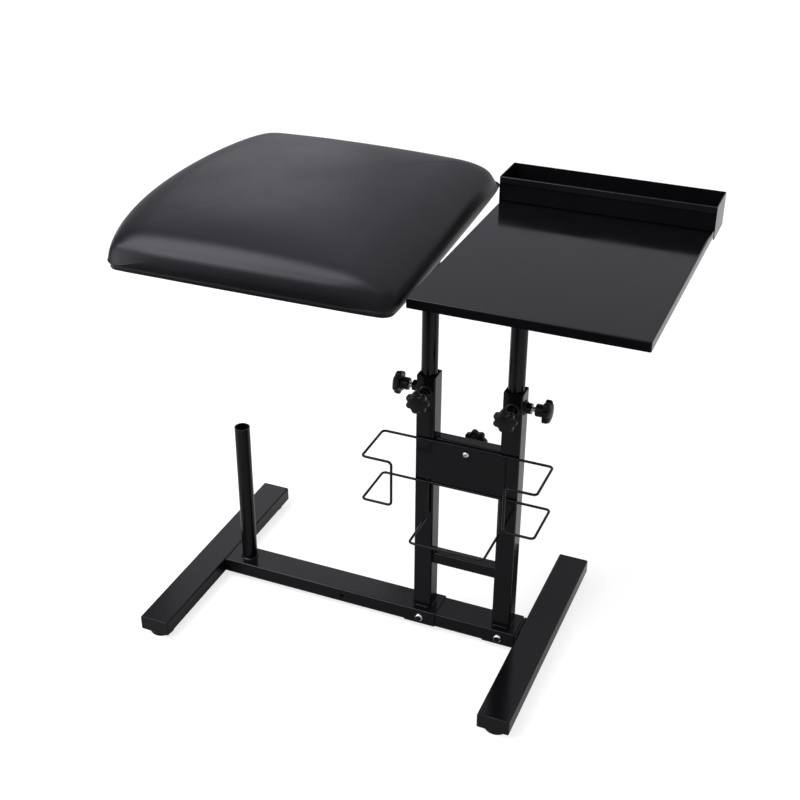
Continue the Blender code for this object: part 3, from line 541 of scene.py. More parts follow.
def end_cap(node, outward):
    low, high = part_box(node)
    plug = high.y - low.y - FLANGE
    if outward < 0:
        high.y = low.y + FLANGE
    else:
        low.y = high.y - FLANGE
    form = block(low, high)
    round_over(form, edges_along(form, 1), TUBE_CORNER, 5)
    outer_rim = [edge for edge in rim_edges(form, 1)
                 if any(face.normal.y * outward > 0.9 for face in edge.link_faces)]
    round_over(form, outer_rim, FLANGE_EDGE, 4)
    inner = [face for face in form.faces if face.normal.y * outward < -0.9]
    bmesh.ops.inset_individual(form, faces=inner, thickness=PLUG_INSET)
    grown = bmesh.ops.extrude_face_region(form, geom=inner)["geom"]
    bmesh.ops.translate(form, vec=(0, -outward * plug, 0), verts=verts_of(grown))
    bmesh.ops.delete(form, geom=inner, context="FACES")
    face_outwards(form)
    return form


for side in ("left", "right"):
    for end, outward in (("front", -1), ("back", 1)):
        node = f"{side}_{end}_end_cap"
        finish_piece(end_cap(node, outward), node + "_moulding", plastic, "base", node)

# %% [markdown]
# Round tubes start as a circle that is extruded once and thickened. The roll post is open at the top, and
# the two sliding tubes run down inside the square posts.

# %% Round tubes
UNDER_PLATE = 0.5 * MM


def carry(form, edges, step):
    """Extrude edges by a step, and hand back the new ones."""
    moved = bmesh.ops.extrude_edge_only(form, edges=edges)["geom"]
    bmesh.ops.translate(form, vec=step, verts=verts_of(moved))
    return [item for item in moved if isinstance(item, bmesh.types.BMEdge)]


def pipe(node, spare=0.0):
    low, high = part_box(node)
    form = bmesh.new()
    bmesh.ops.create_circle(form, cap_ends=False, radius=(high.x - low.x) / 2, segments=72,
                            matrix=Matrix.Translation(end_of(node, -UP)))
    carry(form, form.edges[:], UP * (high.z - low.z - spare))
    face_outwards(form)
    return finish_tube(form, 2)


finish_piece(pipe("roll_post"), "roll_post_tube", paint, "base", "roll_post")
finish_piece(pipe("pad_tube", UNDER_PLATE), "pad_tube_pipe", paint, "pad_mast", "pad_tube")
finish_piece(pipe("tray_tube"), "tray_tube_pipe", paint, "tray_mast", "tray_tube")

# %% [markdown]
# Knobs, nuts, bolts and feet are stacks of rings. A lathe profile with spin would do for the round ones,
# but a star knob and a hexagon are not round. So a circle of edges is extruded again and again, and each
# new ring is set to a radius, a height and a shape.

# %% Helpers for stacked rings
def round_shape(angle):
    return 1.0


def hexagon_shape(angle):
    sixth = math.radians(60)
    return math.cos(sixth / 2) / math.cos(angle % sixth - sixth / 2)


def star_shape(angle):
    valley = 0.5 - 0.5 * math.cos(7 * angle)
    return 1 - 0.19 * valley ** 1.4


def cross_shape(angle):
    return 0.3 + 0.7 * abs(math.cos(2 * angle)) ** 8


def ripple_shape(angle):
    return 1 + 0.02 * math.sin(26 * angle)


def set_ring(ring, radius, height, shape=round_shape):
    for vert in ring:
        angle = math.atan2(vert.co.y, vert.co.x)
        reach = radius * MM * shape(angle)
        vert.co = (reach * math.cos(angle), reach * math.sin(angle), height * MM)


def pointing(place, direction):
    """The matrix that sets a form drawn upright on a place and turns it along a direction."""
    return Matrix.Translation(place) @ UP.rotation_difference(direction).to_matrix().to_4x4()


def grow(rings, segments, place, direction, endless=False):
    """Stack rings of (radius, height, shape) in millimetres; endless joins the last one to the first."""
    form = bmesh.new()
    ring = bmesh.ops.create_circle(form, cap_ends=False, radius=1, segments=segments)["verts"]
    edges = form.edges[:]
    set_ring(ring, *rings[0])
    for section in rings[1:]:
        edges = carry(form, edges, Vector())
        set_ring({vert for edge in edges for vert in edge.verts}, *section)
    open_edges = [edge for edge in form.edges if edge.is_boundary]
    if endless:
        bmesh.ops.bridge_loops(form, edges=open_edges)
    else:
        bmesh.ops.holes_fill(form, edges=open_edges, sides=0)
    face_outwards(form)
    bmesh.ops.transform(form, matrix=pointing(place, direction), verts=form.verts)
    return form


def span(node, place, direction):
    """Where a node starts and ends along a direction, measured from a place, in millimetres."""
    low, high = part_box(node)
    return sorted(((low - place).dot(direction) / MM, (high - place).dot(direction) / MM))


def thread(start, end, radius, pitch=1.25, depth=0.45):
    """Rings of a screw thread, drawn as ridges."""
    rings = []
    height = start
    while height + pitch < end:
        rings += [(radius - depth, height), (radius, height + pitch * 0.4), (radius, height + pitch * 0.6)]
        height += pitch
    return rings

# %% [markdown]
# The clamp knobs are what the hand looks for: seven-lobed stars on a hub. The lobes are deepest at the rim
# and fade out on the domed face. The rack's knob behind the crossbar is the same moulding.

# %% Star knobs
HUB_RINGS = [(4.2, 13.8), (4.2, 0.4), (4.7, 0), (8.4, 0), (9.1, 0.5), (9.5, 1.6), (9.5, 10.6), (9.9, 11.6),
             (10.8, 12.1), (12.0, 12.2)]
LOBE_RINGS = [(16.6, 12.3), (17.5, 12.8), (18.0, 13.9), (18.0, 19.0), (17.7, 20.1), (17.0, 21.0),
              (15.6, 21.9), (13.4, 22.7)]
FACE_RINGS = [(11.0, 23.4), (8.0, 24.0), (4.5, 24.4), (1.5, 24.5)]
knob_rings = HUB_RINGS + [(*ring, star_shape) for ring in LOBE_RINGS] + FACE_RINGS
clamps = {}
for joint in frame["joints"]:
    if joint["name"].endswith("clamp_turn"):
        clamps[joint["child"]] = (Vector(joint["pos_m"]), Vector(joint["axis"]))
for body, (axis_at, outward) in clamps.items():
    node = "rack_knob" if body == "rack_clamp" else body + "_knob"
    foot = span(node, axis_at, outward)[0]
    knob = grow(knob_rings, 112, axis_at + outward * foot * MM, outward)
    finish_piece(knob, node + "_star", plastic, body, node)

# %% [markdown]
# Each knob turns a stud in a nut that is welded to the post. The nut is a hexagon on a round collar, with a
# rippled weld bead round it. Only a few turns of the thread show between the nut and the knob.

# %% Clamp nuts, welds and studs
NUT_RINGS = [(4.2, 0), (9.5, 0), (9.5, 2.5), (9.1, 3.0), (9.24, 3.05, hexagon_shape),
             (9.24, 9.2, hexagon_shape), (8.1, 10.0), (4.8, 10.0), (4.2, 9.5)]
BEAD_RINGS = [(9.4, 0), (11.6, 0, ripple_shape), (11.4, 0.9, ripple_shape), (10.6, 1.7, ripple_shape),
              (9.4, 2.2)]
STUD = 4.0
STUD_TIP = 3.2
THREAD_SHOWN = 8
for body, (axis_at, outward) in clamps.items():
    if body == "rack_clamp":
        continue
    nut_foot, nut_top = span(body + "_nut", axis_at, outward)
    nut = grow(NUT_RINGS, 48, axis_at + outward * nut_foot * MM, outward, endless=True)
    finish_piece(nut, body + "_nut_hexagon", paint, "base", body + "_nut")
    bead = grow(BEAD_RINGS, 104, axis_at, outward, endless=True)
    finish_piece(bead, body + "_nut_weld", paint, "base")
    tip, end = span(body + "_stud", axis_at, outward)
    shown = nut_top + THREAD_SHOWN
    stud_rings = [(STUD_TIP, tip), (STUD, tip + 0.8), (STUD, nut_top - 2)]
    stud_rings += thread(nut_top - 1.9, shown, STUD)
    stud_rings += [(STUD, shown), (STUD, end - 0.8), (STUD_TIP, end)]
    stud = grow(stud_rings, 32, axis_at, outward)
    finish_piece(stud, body + "_stud_thread", zinc, body, body + "_stud")

# %% [markdown]
# Four round feet take up an uneven floor. Each is a plastic disc, soft at both edges, moulded on a threaded
# stud that goes up into the foot bar.

# %% Levelling feet
FOOT_RINGS = [(14.0, 0), (16.6, 0.1), (18.2, 0.7), (19.0, 1.8), (19.0, 3.6), (18.6, 4.8), (17.6, 5.9),
              (16.2, 6.6), (9.0, 6.8), (7.0, 7.0), (4.5, 7.0)]
for body in ("left_front_foot", "left_back_foot", "right_front_foot", "right_back_foot"):
    node = body.replace("foot", "levelling_foot")
    floor_point = end_of(node, -UP)
    finish_piece(grow(FOOT_RINGS, 72, floor_point, UP), node + "_disc", plastic, body, node)
    top = span(node, floor_point, UP)[1]
    stud_rings = [(STUD, 6.5)] + thread(6.6, top - 1, STUD) + [(STUD, top - 0.8), (STUD_TIP, top)]
    finish_piece(grow(stud_rings, 32, floor_point, UP), node + "_stud", zinc, body)

# %% [markdown]
# A folded sheet starts as a few vertices joined by edges, the line of its section. Bevelling the inner
# vertices gives the bends, one extrusion the length, and solidify the thickness.

# %% Helper for folded sheet
FRONT = Vector((0, -1, 0))


def folded_sheet(section, bends, start, end, sheet):
    """Fold a sheet along a section of (y, z), from one X to another; its first face looks to the front."""
    form = bmesh.new()
    verts = [form.verts.new((start, y, z)) for y, z in section]
    first_point = verts[0].co.copy()
    for first, second in zip(verts, verts[1:]):
        form.edges.new((first, second))
    for vert, bend in zip(verts[1:-1], bends):
        round_over(form, [vert], bend, 6, affect="VERTICES")
    carry(form, form.edges[:], RIGHT * (end - start))
    face_outwards(form)
    first_face = min(form.faces, key=lambda face: (face.calc_center_median() - first_point).length)
    if first_face.normal.dot(FRONT) < 0:
        bmesh.ops.reverse_faces(form, faces=form.faces)
        form.normal_update()
    return thicken(form, sheet)

# %% [markdown]
# Each post stands on a saddle: an inverted U of sheet that grips the beam, with a bolt through both. Its
# sides stand a little proud of the beam, which shows as a dark step beside the post.

# %% Saddles
SADDLE_BEND = 2.2 * MM
SADDLE_SHEET = 1.5 * MM
SADDLE_EDGE = 0.3 * MM
for side in ("left", "right"):
    node = side + "_saddle"
    low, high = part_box(node)
    section = [(low.y, low.z), (low.y, high.z), (high.y, high.z), (high.y, low.z)]
    form = folded_sheet(section, (SADDLE_BEND, SADDLE_BEND), low.x, high.x, SADDLE_SHEET)
    round_over(form, rim_edges(form, 0), SADDLE_EDGE, 2)
    finish_piece(form, node + "_fold", paint, "base", node)

# %% [markdown]
# Bolt heads are domed, with a hexagon or cross recess, which is the same stack of rings turned back into
# the head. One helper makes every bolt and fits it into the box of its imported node.

# %% Helper for bolts
def bolt(box, direction, shank, head, height, recess, width, threaded=0):
    """A bolt whose head looks along a direction; sizes in millimetres, width across the recess."""
    low, high = box
    middle = (low + high) / 2
    tip = abs((high - middle).dot(direction))
    end = height - 2 * tip / MM
    rings = [(shank * 0.8, end), (shank, end + 0.7)]
    if threaded:
        rings += thread(end + 0.8, end + threaded, shank)
    rings += [(shank, end + threaded + 0.9), (shank, 0), (head, 0), (head, height * 0.16),
              (head * 0.965, height * 0.4), (head * 0.87, height * 0.66), (head * 0.74, height * 0.85),
              (head * 0.6, height * 0.97), (width * 0.56, height), (width * 0.5, height * 0.97, recess),
              (width * 0.48, height * 0.35, recess)]
    return grow(rings, 48, middle + direction * (tip - height * MM), direction)

# %% [markdown]
# The saddle bolts cross the beam from front to back: a bright domed head in front, and a nut on the thread behind.
# A round black disc in each socket is painted shade: it stands for the dark of the deep recess, so that only a
# bright ring shows.

# %% Saddle bolts and nuts
SADDLE_NUT_RINGS = [(4.1, 0), (6.9, 0), (7.5, 0.7, hexagon_shape), (7.5, 5.8, hexagon_shape), (6.9, 6.5),
                    (4.6, 6.5), (4.1, 6.0)]
SOCKET_SHADE_RINGS = [(4.0, -2.8, hexagon_shape), (4.0, -1.2, hexagon_shape), (5.0, -1.0), (5.0, -0.3), (4.5, 0.1)]
for side in ("left", "right"):
    node = side + "_saddle_bolt"
    form = bolt(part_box(node), FRONT, shank=4.0, head=7.0, height=4.4, recess=hexagon_shape, width=8.4,
                threaded=9.0)
    finish_piece(form, node + "_button", zinc, "base", node)
    # A black disc in the socket, painted shade for the deep recess.
    plug = grow(SOCKET_SHADE_RINGS, 48, end_of(node, FRONT), FRONT)
    finish_piece(plug, node + "_painted_socket_shade", paint, "base")
    node = side + "_saddle_nut"
    nut = grow(SADDLE_NUT_RINGS, 48, end_of(node, FRONT), -FRONT, endless=True)
    finish_piece(nut, node + "_hexagon", zinc, "base", node)

# %% [markdown]
# The rack is one long wire bent into two side baskets, and a second wire that hangs below as a cradle. A
# wire is a small circle carried along straight runs with extrude and round each bend with spin, so that it
# keeps its thickness. A closed loop comes back to its first ring, and the doubles merge.

# %% Helper for bent wire
WIRE = 2 * MM
WIRE_BEND = 6 * MM


def bent_wire(corners, closed):
    corners = [Vector(corner) for corner in corners]
    start = (corners[0] + corners[-1]) / 2 if closed else corners[0]
    route = corners + [start] if closed else corners[1:]
    form = bmesh.new()
    bmesh.ops.create_circle(form, cap_ends=False, radius=WIRE, segments=16,
                            matrix=pointing(start, (route[0] - start).normalized()))
    edges = form.edges[:]
    here = start
    for corner, after in zip(route, route[1:]):
        arriving = (corner - here).normalized()
        leaving = (after - corner).normalized()
        angle = arriving.angle(leaving)
        reach = WIRE_BEND * math.tan(angle / 2)
        edges = carry(form, edges, corner - arriving * reach - here)
        verts = list({vert for edge in edges for vert in edge.verts})
        spun = bmesh.ops.spin(form, geom=verts + edges, cent=corner - arriving * reach + leaving * WIRE_BEND,
                              axis=arriving.cross(leaving), angle=angle, steps=8)
        edges = [item for item in spun["geom_last"] if isinstance(item, bmesh.types.BMEdge)]
        here = corner + leaving * reach
    carry(form, edges, route[-1] - here)
    bmesh.ops.remove_doubles(form, verts=form.verts, dist=0.02 * MM)
    if not closed:
        ends = [edge for edge in form.edges if edge.is_boundary]
        bmesh.ops.holes_fill(form, edges=ends, sides=0)
    face_outwards(form)
    return form

# %% Baskets and cradle
BASKET_WIDTH = 47 * MM
inset = Vector((WIRE, WIRE, WIRE))
low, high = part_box("rack_basket_wire")
low += inset
high -= inset
mirror_x = low.x + high.x
inner_x = high.x - BASKET_WIDTH
right_basket = [(high.x, high.y, high.z), (high.x, low.y, high.z), (inner_x, low.y, high.z),
                (inner_x, low.y, low.z), (high.x, low.y, low.z), (high.x, high.y, low.z)]
left_basket = [(mirror_x - x, y, z) for x, y, z in reversed(right_basket)]
baskets = bent_wire(right_basket + left_basket, closed=True)
finish_piece(baskets, "rack_baskets", paint, "base", "rack_basket_wire")
low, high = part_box("rack_cradle_wire")
low += inset
high -= Vector((WIRE, WIRE, 0))
cradle = [(low.x, high.y, high.z), (low.x, high.y, low.z), (low.x, low.y, low.z), (high.x, low.y, low.z),
          (high.x, high.y, low.z), (high.x, high.y, high.z)]
finish_piece(bent_wire(cradle, closed=False), "rack_cradle", paint, "base", "rack_cradle_wire")

# %% [markdown]
# A sheet plate carries the wires and closes the gap between the posts. It hangs on one bolt through a short
# slot, which is punched in a single face before the face gets its thickness. Four spot welds show as small
# raised dots near its corners.

# %% Rack plate and bolt
UNDER_WIRE = 0.9 * MM
SLOT = 3.3 * MM
SLOT_RISE = 3.5 * MM
SPOT_WELD = 1.7 * MM
SPOT_IN_X = 9 * MM
SPOT_IN_Z = 8 * MM
low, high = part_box("rack_plate")
low.z -= UNDER_WIRE
high.z += UNDER_WIRE
size = high - low
bolt_at = centre_of("rack_bolt")
upright = Matrix.Rotation(math.radians(90), 4, "X") @ Matrix.Diagonal((size.x, size.z, 1, 1))
form = bmesh.new()
bmesh.ops.create_grid(form, x_segments=1, y_segments=1, size=0.5,
                      matrix=Matrix.Translation((low.x + size.x / 2, low.y, low.z + size.z / 2)) @ upright)
round_over(form, form.verts[:], TUBE_CORNER, 5, affect="VERTICES")
punch(form, Vector((bolt_at.x, low.y, bolt_at.z)), SLOT, SLOT_RISE)
thicken(form, size.y)
round_over(form, rim_edges(form, 1), CUT_EDGE, 2)
for x in (low.x + SPOT_IN_X, high.x - SPOT_IN_X):
    for z in (low.z + SPOT_IN_Z, high.z - SPOT_IN_Z):
        dot = Matrix.Translation((x, low.y, z)) @ Matrix.Diagonal((1, 0.3, 1, 1))
        bmesh.ops.create_uvsphere(form, u_segments=16, v_segments=8, radius=SPOT_WELD, matrix=dot)
finish_piece(form, "rack_plate_sheet", paint, "base", "rack_plate")
form = bolt(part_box("rack_bolt"), FRONT, shank=3.0, head=5.25, height=3.6, recess=cross_shape, width=5.4,
            threaded=12.0)
finish_piece(form, "rack_bolt_head", zinc, "base", "rack_bolt")

# %% [markdown]
# The frame is welded where its tubes meet. A bead is a thin rod laid along the seam, grown in short steps
# that swell and shrink as the welder's puddles do.

# %% Helpers for weld beads
PUDDLE = 1.6 * MM
SHORT_OF_CORNER = 3 * MM


def seam(start, end, along, radius):
    """A bead along one axis, stopped short of both corners."""
    start, end = start.copy(), end.copy()
    start[along] += SHORT_OF_CORNER
    end[along] -= SHORT_OF_CORNER
    run = end - start
    steps = max(4, int(run.length / PUDDLE))
    rings = []
    for step in range(steps + 1):
        swell = 0.45 if step in (0, steps) else 0.86 + 0.14 * (step % 2)
        rings.append((radius / MM * swell, run.length / MM * step / steps))
    return grow(rings, 10, start, run)


def seams_round(low, high, first, second, radius):
    """Beads along the four sides of a rectangle that lies in two axes."""
    beads = []
    for along, across in ((first, second), (second, first)):
        for level in (low[across], high[across]):
            start, end = low.copy(), high.copy()
            start[across] = end[across] = level
            beads.append(seam(start, end, along, radius))
    return beads


def joined(forms):
    whole = bmesh.new()
    for form in forms:
        carrier = bpy.data.meshes.new("carrier")
        form.to_mesh(carrier)
        form.free()
        whole.from_mesh(carrier)
        bpy.data.meshes.remove(carrier)
    return whole

# %% Weld beads on the frame
POST_BEAD = 1.7 * MM
BAR_BEAD = 1.4 * MM
BEAM_BEAD = 1.3 * MM
POST_WELD_RINGS = [(-0.3, 0), (2.1, 0, ripple_shape), (1.9, 0.9, ripple_shape), (1.0, 1.8, ripple_shape),
                   (-0.3, 2.4)]
beads = []
for side in ("left", "right"):
    low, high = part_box(side + "_post")
    high.z = low.z
    beads += seams_round(low, high, 0, 1, POST_BEAD)
for bar in ("lower_crossbar", "upper_crossbar"):
    low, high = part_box(bar)
    for x in (low.x, high.x):
        beads += seams_round(Vector((x, low.y, low.z)), Vector((x, high.y, high.z)), 1, 2, BAR_BEAD)
for x in (beam_low.x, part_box("beam_end_plate")[0].x):
    ends = [Vector((x, y, beam_high.z)) for y in (beam_low.y, beam_high.y)]
    beads.append(seam(*ends, 1, BEAM_BEAD))
finish_piece(joined(beads), "frame_welds", paint, "base")
low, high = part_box("roll_post")
post_radius = (high.x - low.x) / 2 / MM
post_weld = [(post_radius + reach, *rest) for reach, *rest in POST_WELD_RINGS]
bead = grow(post_weld, 104, end_of("roll_post", -UP), UP, endless=True)
finish_piece(bead, "roll_post_weld", paint, "base")

# %% [markdown]
# The tray is one sheet with its four edges turned down. A block stretched to its box does it: take the
# underside away, bevel the top edges and the corners to the bend radius, and thicken the skin inwards.

# %% Tray
SHEET = 1.2 * MM
TRAY_BEND = 2.2 * MM
form = block(*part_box("tray_pan"))
underside = [face for face in form.faces if face.normal.z < -0.9]
rim = [edge for face in underside for edge in face.edges]
folds = [edge for edge in form.edges if edge not in rim]
bmesh.ops.delete(form, geom=underside, context="FACES_ONLY")
round_over(form, folds, TRAY_BEND, 5)
finish_piece(thicken(form, SHEET), "tray_folded_sheet", paint, "tray_head", "tray_pan")

# %% [markdown]
# The trough along the back of the tray is a folded channel. Its front wall ends in a hem, turned over to
# the outside so that no raw edge meets the hand; the hem's free edge stands off a little and catches the
# light. The section runs from that edge over the top, down the wall, along the bottom and up the back.

# %% Trough
HEM = 9 * MM
HEM_GAP = 0.12 * MM
HEM_FLARE = 1.1 * MM
HEM_BEND = 1.24 * MM
WALL_BEND = 1.6 * MM
INTO_ENDS = 0.6 * MM
low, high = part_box("trough")
hem_y = low.y - HEM_GAP
wall_y = low.y + 2 * SHEET
back_y = high.y - SHEET
bottom_z = low.z + SHEET
section = [(hem_y - HEM_FLARE, high.z - HEM), (hem_y, high.z), (wall_y, high.z), (wall_y, bottom_z),
           (back_y, bottom_z), (back_y, high.z)]
bends = (HEM_BEND, HEM_BEND, WALL_BEND, WALL_BEND)
form = folded_sheet(section, bends, low.x - INTO_ENDS, high.x + INTO_ENDS, SHEET)
finish_piece(form, "trough_folded_sheet", paint, "tray_head", "trough")

# %% [markdown]
# Four bolts with their heads down hold the tray to the plate on its tube.

# %% Tray bolts
for number in range(1, 5):
    node = f"tray_bolt_{number}"
    form = bolt(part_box(node), -UP, shank=3.0, head=5.5, height=4.0, recess=hexagon_shape, width=4.6)
    finish_piece(form, node + "_button", zinc, "tray_head", node)

# %% [markdown]
# The rest is turned a little in its post and set slightly nose-up. Its pieces are easier to draw square, so
# they are made in the rest's own directions and set in place by one matrix.

# %% The rest's own directions
PAD_TILT = math.radians(1.3)
PAD_YAW = math.radians(3.0)
swivel = next(joint for joint in frame["record"]["behaviour"]["joints"] if joint["name"] == "pad_swivel")
pad_place = Matrix.Translation(swivel["pos_m"]) @ Euler((0, PAD_TILT, PAD_YAW)).to_matrix().to_4x4()


def pad_copy(node):
    """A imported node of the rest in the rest's own directions."""
    form = bmesh.new()
    form.from_mesh(frame["nodes"][node].data)
    bmesh.ops.transform(form, matrix=pad_place.inverted(), verts=form.verts)
    return form


def pad_points(node):
    form = pad_copy(node)
    points = [vert.co.copy() for vert in form.verts]
    form.free()
    return points


def pad_box(node):
    sides = list(zip(*pad_points(node)))
    return Vector([min(side) for side in sides]), Vector([max(side) for side in sides])


def set_on_pad(form):
    bmesh.ops.transform(form, matrix=pad_place, verts=form.verts)
    return form

# %% Plate and screws under the rest
form = plate(*pad_box("pad_plate"), 2, PLATE_CORNER, PLATE_EDGE)
finish_piece(set_on_pad(form), "pad_plate_sheet", paint, "pad_head", "pad_plate")
for number in range(1, 5):
    node = f"pad_screw_{number}"
    form = bolt(pad_box(node), -UP, shank=2.5, head=5.0, height=3.0, recess=cross_shape, width=5.2,
                threaded=8.0)
    finish_piece(set_on_pad(form), node + "_pan_head", zinc, "pad_head", node)

# %% [markdown]
# The cushion is foam under a tight cover that is drawn down over the board and turned under it. The packed
# cover already has the right outline, so its outer skin is copied. Pairs of triangles are joined again, and
# the fan of long triangles on the crown gives way to an even grid, which takes a highlight without a pinch.

# %% Cushion blank
JOIN_ANGLE = math.radians(60)
FOLD_ANGLE = math.radians(70)
pad_low, pad_high = pad_box("pad_cover")
heart = (pad_low + pad_high) / 2
form = pad_copy("pad_cover")
bmesh.ops.remove_doubles(form, verts=form.verts, dist=0.02 * MM)
form.normal_update()
lining = [face for face in form.faces if face.normal.dot(face.calc_center_median() - heart) <= 0]
bmesh.ops.delete(form, geom=lining, context="FACES")
crown = max(form.verts, key=lambda vert: len(vert.link_edges))
bmesh.ops.delete(form, geom=[crown], context="VERTS")
bmesh.ops.join_triangles(form, faces=form.faces[:], angle_face_threshold=JOIN_ANGLE,
                         angle_shape_threshold=JOIN_ANGLE)
opening = [edge for edge in form.edges if edge.is_boundary and edge.verts[0].co.z > heart.z]
print("crown opening:", len(opening), "edges")
here = max({vert for edge in opening for vert in edge.verts}, key=lambda vert: vert.co.x - vert.co.y)
loop = []
while len(loop) < len(opening):
    loop.append(next(edge for edge in here.link_edges if edge in opening and edge not in loop))
    here = loop[-1].other_vert(here)
quarter = len(loop) // 4
bmesh.ops.grid_fill(form, edges=loop[:quarter] + loop[2 * quarter:3 * quarter])
face_outwards(form)
fold = form.edges.layers.float.new("crease_edge")
for edge in form.edges:
    if len(edge.link_faces) == 2 and edge.calc_face_angle() > FOLD_ANGLE:
        edge[fold] = 0.9
cushion = new_object("cushion_blank", form)


def baked(piece):
    """The piece's mesh with all its modifiers applied."""
    ready = piece.evaluated_get(bpy.context.evaluated_depsgraph_get())
    return bpy.data.meshes.new_from_object(ready)


def subdivide(piece, levels):
    finer = piece.modifiers.new("finer", "SUBSURF")
    finer.levels = levels
    finer.render_levels = levels
    piece.data = baked(piece)
    piece.modifiers.clear()


subdivide(cushion, 2)
print("cushion blank:", len(cushion.data.vertices), "points")

# %% [markdown]
# The blank's few points near the corners leave straight ridges in the foam. Its form is a simple sum,
# though: a rounding along each side, wider at the left end of the front, and a low crown. So every point of
# the finer mesh is set to that height. A real cover is fullest low down, so the widest line is lowered, and
# the foam is drawn in a little to leave room for the swelling.

# %% Shape the crown
SHRINK = 1.6 * MM
STRIP = 17 * MM
FADE = 20 * MM
SNUG = 0.6 * MM
LOWER = 8 * MM
LOWER_SPREAD = 9 * MM
BOW = 52 * MM
RISE = 32 * MM
CROWN = 15 * MM
ROUND_RIGHT = 78 * MM
ROUND_LEFT = 61 * MM
ROUND_BACK = 62 * MM
ROUND_FRONT = 30 * MM
FRONT_SPREAD = 14 * MM
ROUND_BLEND = 3
NEAR_SIDE = 0.97
SIDE_FADE = 0.17
half = (pad_high.y - pad_low.y) / 2
bow_radius = (half ** 2 + BOW ** 2) / (2 * BOW)


def clamp(value):
    return max(0.0, min(1.0, value))


def freedom(height):
    """0 on the strip round the board, 1 well above it."""
    return clamp((height - STRIP) / FADE)


def leftness(x):
    """0 at the right side of the rest, 1 at the left end."""
    return (pad_high.x - x) / (pad_high.x - pad_low.x)


def shortfall(distance, width):
    """1 at a side, falling to 0 where its rounding ends."""
    return 1 - clamp(distance / width)


def foam_top(x, y):
    """The height of the foam, and how far the sides have closed in: 0 on the flat, 1 at a side."""
    to_left = bow_radius - math.hypot(x - pad_low.x - bow_radius, y)
    sides = (shortfall(pad_high.x - x, ROUND_RIGHT), shortfall(to_left, ROUND_LEFT),
             shortfall(half - y, ROUND_BACK), shortfall(half + y, ROUND_FRONT + FRONT_SPREAD * leftness(x)))
    closed = min(1.0, sum(side ** ROUND_BLEND for side in sides) ** (1 / ROUND_BLEND))
    crown = CROWN * (1 - (2 * leftness(x) - 1) ** 2) * (1 - (y / half) ** 4)
    return STRIP + RISE * math.sqrt(1 - closed ** 2) + crown, closed


def opened(piece):
    form = bmesh.new()
    form.from_mesh(piece.data)
    form.normal_update()
    return form


def put_back(form, piece):
    form.to_mesh(piece.data)
    form.free()
    print("crown at", round(max(vert.co.z for vert in piece.data.vertices) / MM, 1), "mm over the hem")


form = opened(cushion)
for vert in form.verts:
    if vert.co.z > STRIP:
        height, closed = foam_top(vert.co.x, vert.co.y)
        vert.co.z += (height - vert.co.z) * clamp((NEAR_SIDE - closed) / SIDE_FADE)
    vert.co.z -= LOWER * math.exp(-((vert.co.z - STRIP) / LOWER_SPREAD) ** 2)
form.normal_update()
for vert in form.verts:
    free = freedom(vert.co.z)
    sideways = Vector((vert.normal.x, vert.normal.y, 0))
    vert.co += sideways * SNUG * (1 - free) - vert.normal * SHRINK * free
put_back(form, cushion)

# %% [markdown]
# Cloth with pressure swells the cover as the foam fills it, with gravity off and the strip round the board
# pinned. Only the outward part of each move counts, and it is capped, so that the cushion keeps its size.
# Then neighbours share their moves, because foam does not let the cover wrinkle.

# %% Swell the cushion
CAP = 2.4 * MM
PRESSURE = 4.0
FRAMES = 20
SHARING = 60
rises = [SHRINK] * len(cushion.data.vertices)
held = cushion.vertex_groups.new(name="held")
for vert in cushion.data.vertices:
    held.add([vert.index], 1 - freedom(vert.co.z), "REPLACE")
cloth = cushion.modifiers.new("swell", "CLOTH")
cloth.settings.use_pressure = True
cloth.settings.uniform_pressure_force = PRESSURE
cloth.settings.effector_weights.gravity = 0.0
cloth.settings.vertex_group_mass = "held"
cloth.point_cache.frame_end = FRAMES
for number in range(1, FRAMES + 1):
    scene.frame_set(number)
swollen = baked(cushion)
pairs = zip(cushion.data.vertices, swollen.vertices)
moves = [(target.co - vert.co).dot(vert.normal) for vert, target in pairs]
rises = [max(0.0, min(CAP, move)) for move in moves]
cushion.modifiers.clear()
bpy.data.meshes.remove(swollen)
scene.frame_set(1)
print("cloth moved by", round(min(moves) / MM, 1), "to", round(max(moves) / MM, 1), "mm")
form = opened(cushion)
for step in range(SHARING):
    shared = []
    for vert in form.verts:
        near = [rises[edge.other_vert(vert).index] for edge in vert.link_edges]
        shared.append((rises[vert.index] + sum(near)) / (1 + len(near)))
    rises = shared
for vert in form.verts:
    vert.co += vert.normal * rises[vert.index] * freedom(vert.co.z)
put_back(form, cushion)

# %% [markdown]
# One more subdivision makes it fine enough for the upholsterer's marks: a shallow groove where the cover is
# drawn tight over the board's edge, and small puckers where it is gathered at the corners. Solidify turns
# the skin into vinyl of its real thickness, hem and all.

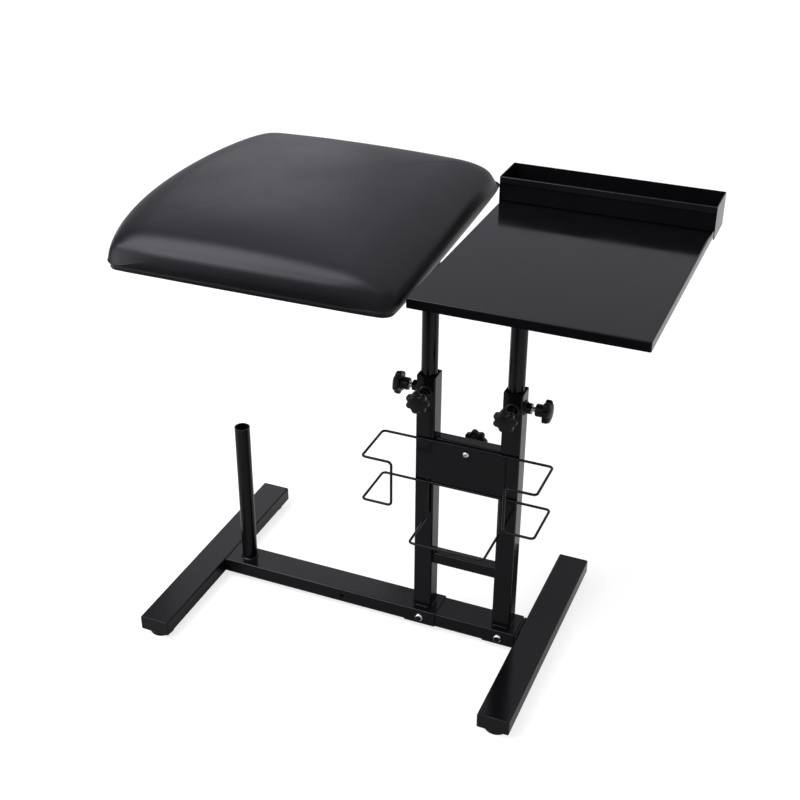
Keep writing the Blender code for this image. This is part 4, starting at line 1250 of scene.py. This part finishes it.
# %% Groove and puckers
GROOVE_HEIGHT = 5 * MM
GROOVE_WIDTH = 2.6 * MM
GROOVE_DEPTH = 0.25 * MM
PUCKERS = 17
PUCKER_DEPTH = 0.45 * MM
PUCKER_REACH = 34 * MM
PUCKER_HEIGHT = 20 * MM
SIDE_TOP = 40 * MM
LEFT_CORNER_X = -345 * MM
LEFT_INSET = 26 * MM
RIGHT_INSET = 22 * MM
subdivide(cushion, 1)
insets = ((pad_high.x - RIGHT_INSET, RIGHT_INSET), (LEFT_CORNER_X, LEFT_INSET))
corners = [Vector((x, y, 0)) for x, inset in insets for y in (pad_low.y + inset, pad_high.y - inset)]
form = opened(cushion)
for vert in form.verts:
    on_side = max(0.0, 1 - abs(vert.normal.z) * 1.3)
    if on_side == 0 or vert.co.z > SIDE_TOP:
        continue
    push = GROOVE_DEPTH * leftness(vert.co.x) * math.exp(-((vert.co.z - GROOVE_HEIGHT) / GROOVE_WIDTH) ** 2)
    for corner in corners:
        away = Vector((vert.co.x - corner.x, vert.co.y - corner.y, 0))
        near = max(0.0, 1 - away.length / PUCKER_REACH)
        low_down = max(0.0, 1 - vert.co.z / PUCKER_HEIGHT)
        push += PUCKER_DEPTH * min(1.0, near * 3) * low_down * math.cos(math.atan2(away.y, away.x) * PUCKERS)
    vert.co -= vert.normal * push * on_side
bmesh.ops.solidify(form, geom=form.faces[:], thickness=SHEET)
bpy.data.objects.remove(cushion)
padding = finish_piece(set_on_pad(form), "pad_cushion", vinyl, "pad_head", "pad_cover", "pad_foam")

# %% [markdown]
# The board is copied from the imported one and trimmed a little, so that the rounded corners of the cover
# always lie outside it. The hem below hides the trim.

# %% Board
TRIM = 6 * MM
board_low, board_high = pad_box("pad_board")
board_size = board_high - board_low
board_middle = (board_low + board_high) / 2
form = pad_copy("pad_board")
smaller = Vector((1 - 2 * TRIM / board_size.x, 1 - 2 * TRIM / board_size.y, 1))
bmesh.ops.scale(form, vec=smaller, space=Matrix.Translation(-board_middle), verts=form.verts)
finish_piece(set_on_pad(form), "pad_board_plywood", plywood, "pad_head", "pad_board")

# %% [markdown]
# Staples hold the hem under the board, a finger's width apart. Each is a thin bar, pressed into the hem
# along the board's outline.

# %% Staples
STAPLE_SIZE = Vector((10, 1.2, 0.7)) * MM
STAPLE_DROP = 0.1 * MM
STAPLE_EDGE = 0.2 * MM
STAPLE_SPACING = 30 * MM
FROM_EDGE = 4 * MM
form = bmesh.new()
for point in pad_points("pad_board"):
    if point.z < board_low.z + 0.1 * MM:
        form.verts.new((point.x, point.y, 0))
bmesh.ops.convex_hull(form, input=form.verts[:])
outline = sorted((vert.co.copy() for vert in form.verts if vert.link_edges),
                 key=lambda point: math.atan2(point.y - board_middle.y, point.x - board_middle.x))
form.free()
form = bmesh.new()
walked = 0.0
for first, second in zip(outline, outline[1:] + outline[:1]):
    run = second - first
    while walked < run.length:
        spot = first + run.normalized() * walked
        spot += Vector((board_middle.x - spot.x, board_middle.y - spot.y, 0)).normalized() * FROM_EDGE
        spot.z -= STAPLE_DROP
        heading = Matrix.Rotation(math.atan2(run.y, run.x), 3, "Z")
        bmesh.ops.create_cube(form, size=1, matrix=Matrix.LocRotScale(spot, heading, STAPLE_SIZE))
        walked += STAPLE_SPACING
    walked -= run.length
form.normal_update()
round_over(form, form.edges[:], STAPLE_EDGE, 1)
finish_piece(set_on_pad(form), "hem_staples", zinc, "pad_head")

# %% [markdown]
# The dressed object has to stay the size of the imported one, so the sizes of both boxes are printed, in
# millimetres.

# %% Sizes
low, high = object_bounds()
sizes = {"cad": [list(cad_low), list(cad_high)], "visual": [list(low), list(high)]}
for label, (first, second) in sizes.items():
    print(label, [round((end - start) / MM, 1) for start, end in zip(first, second)], "mm")
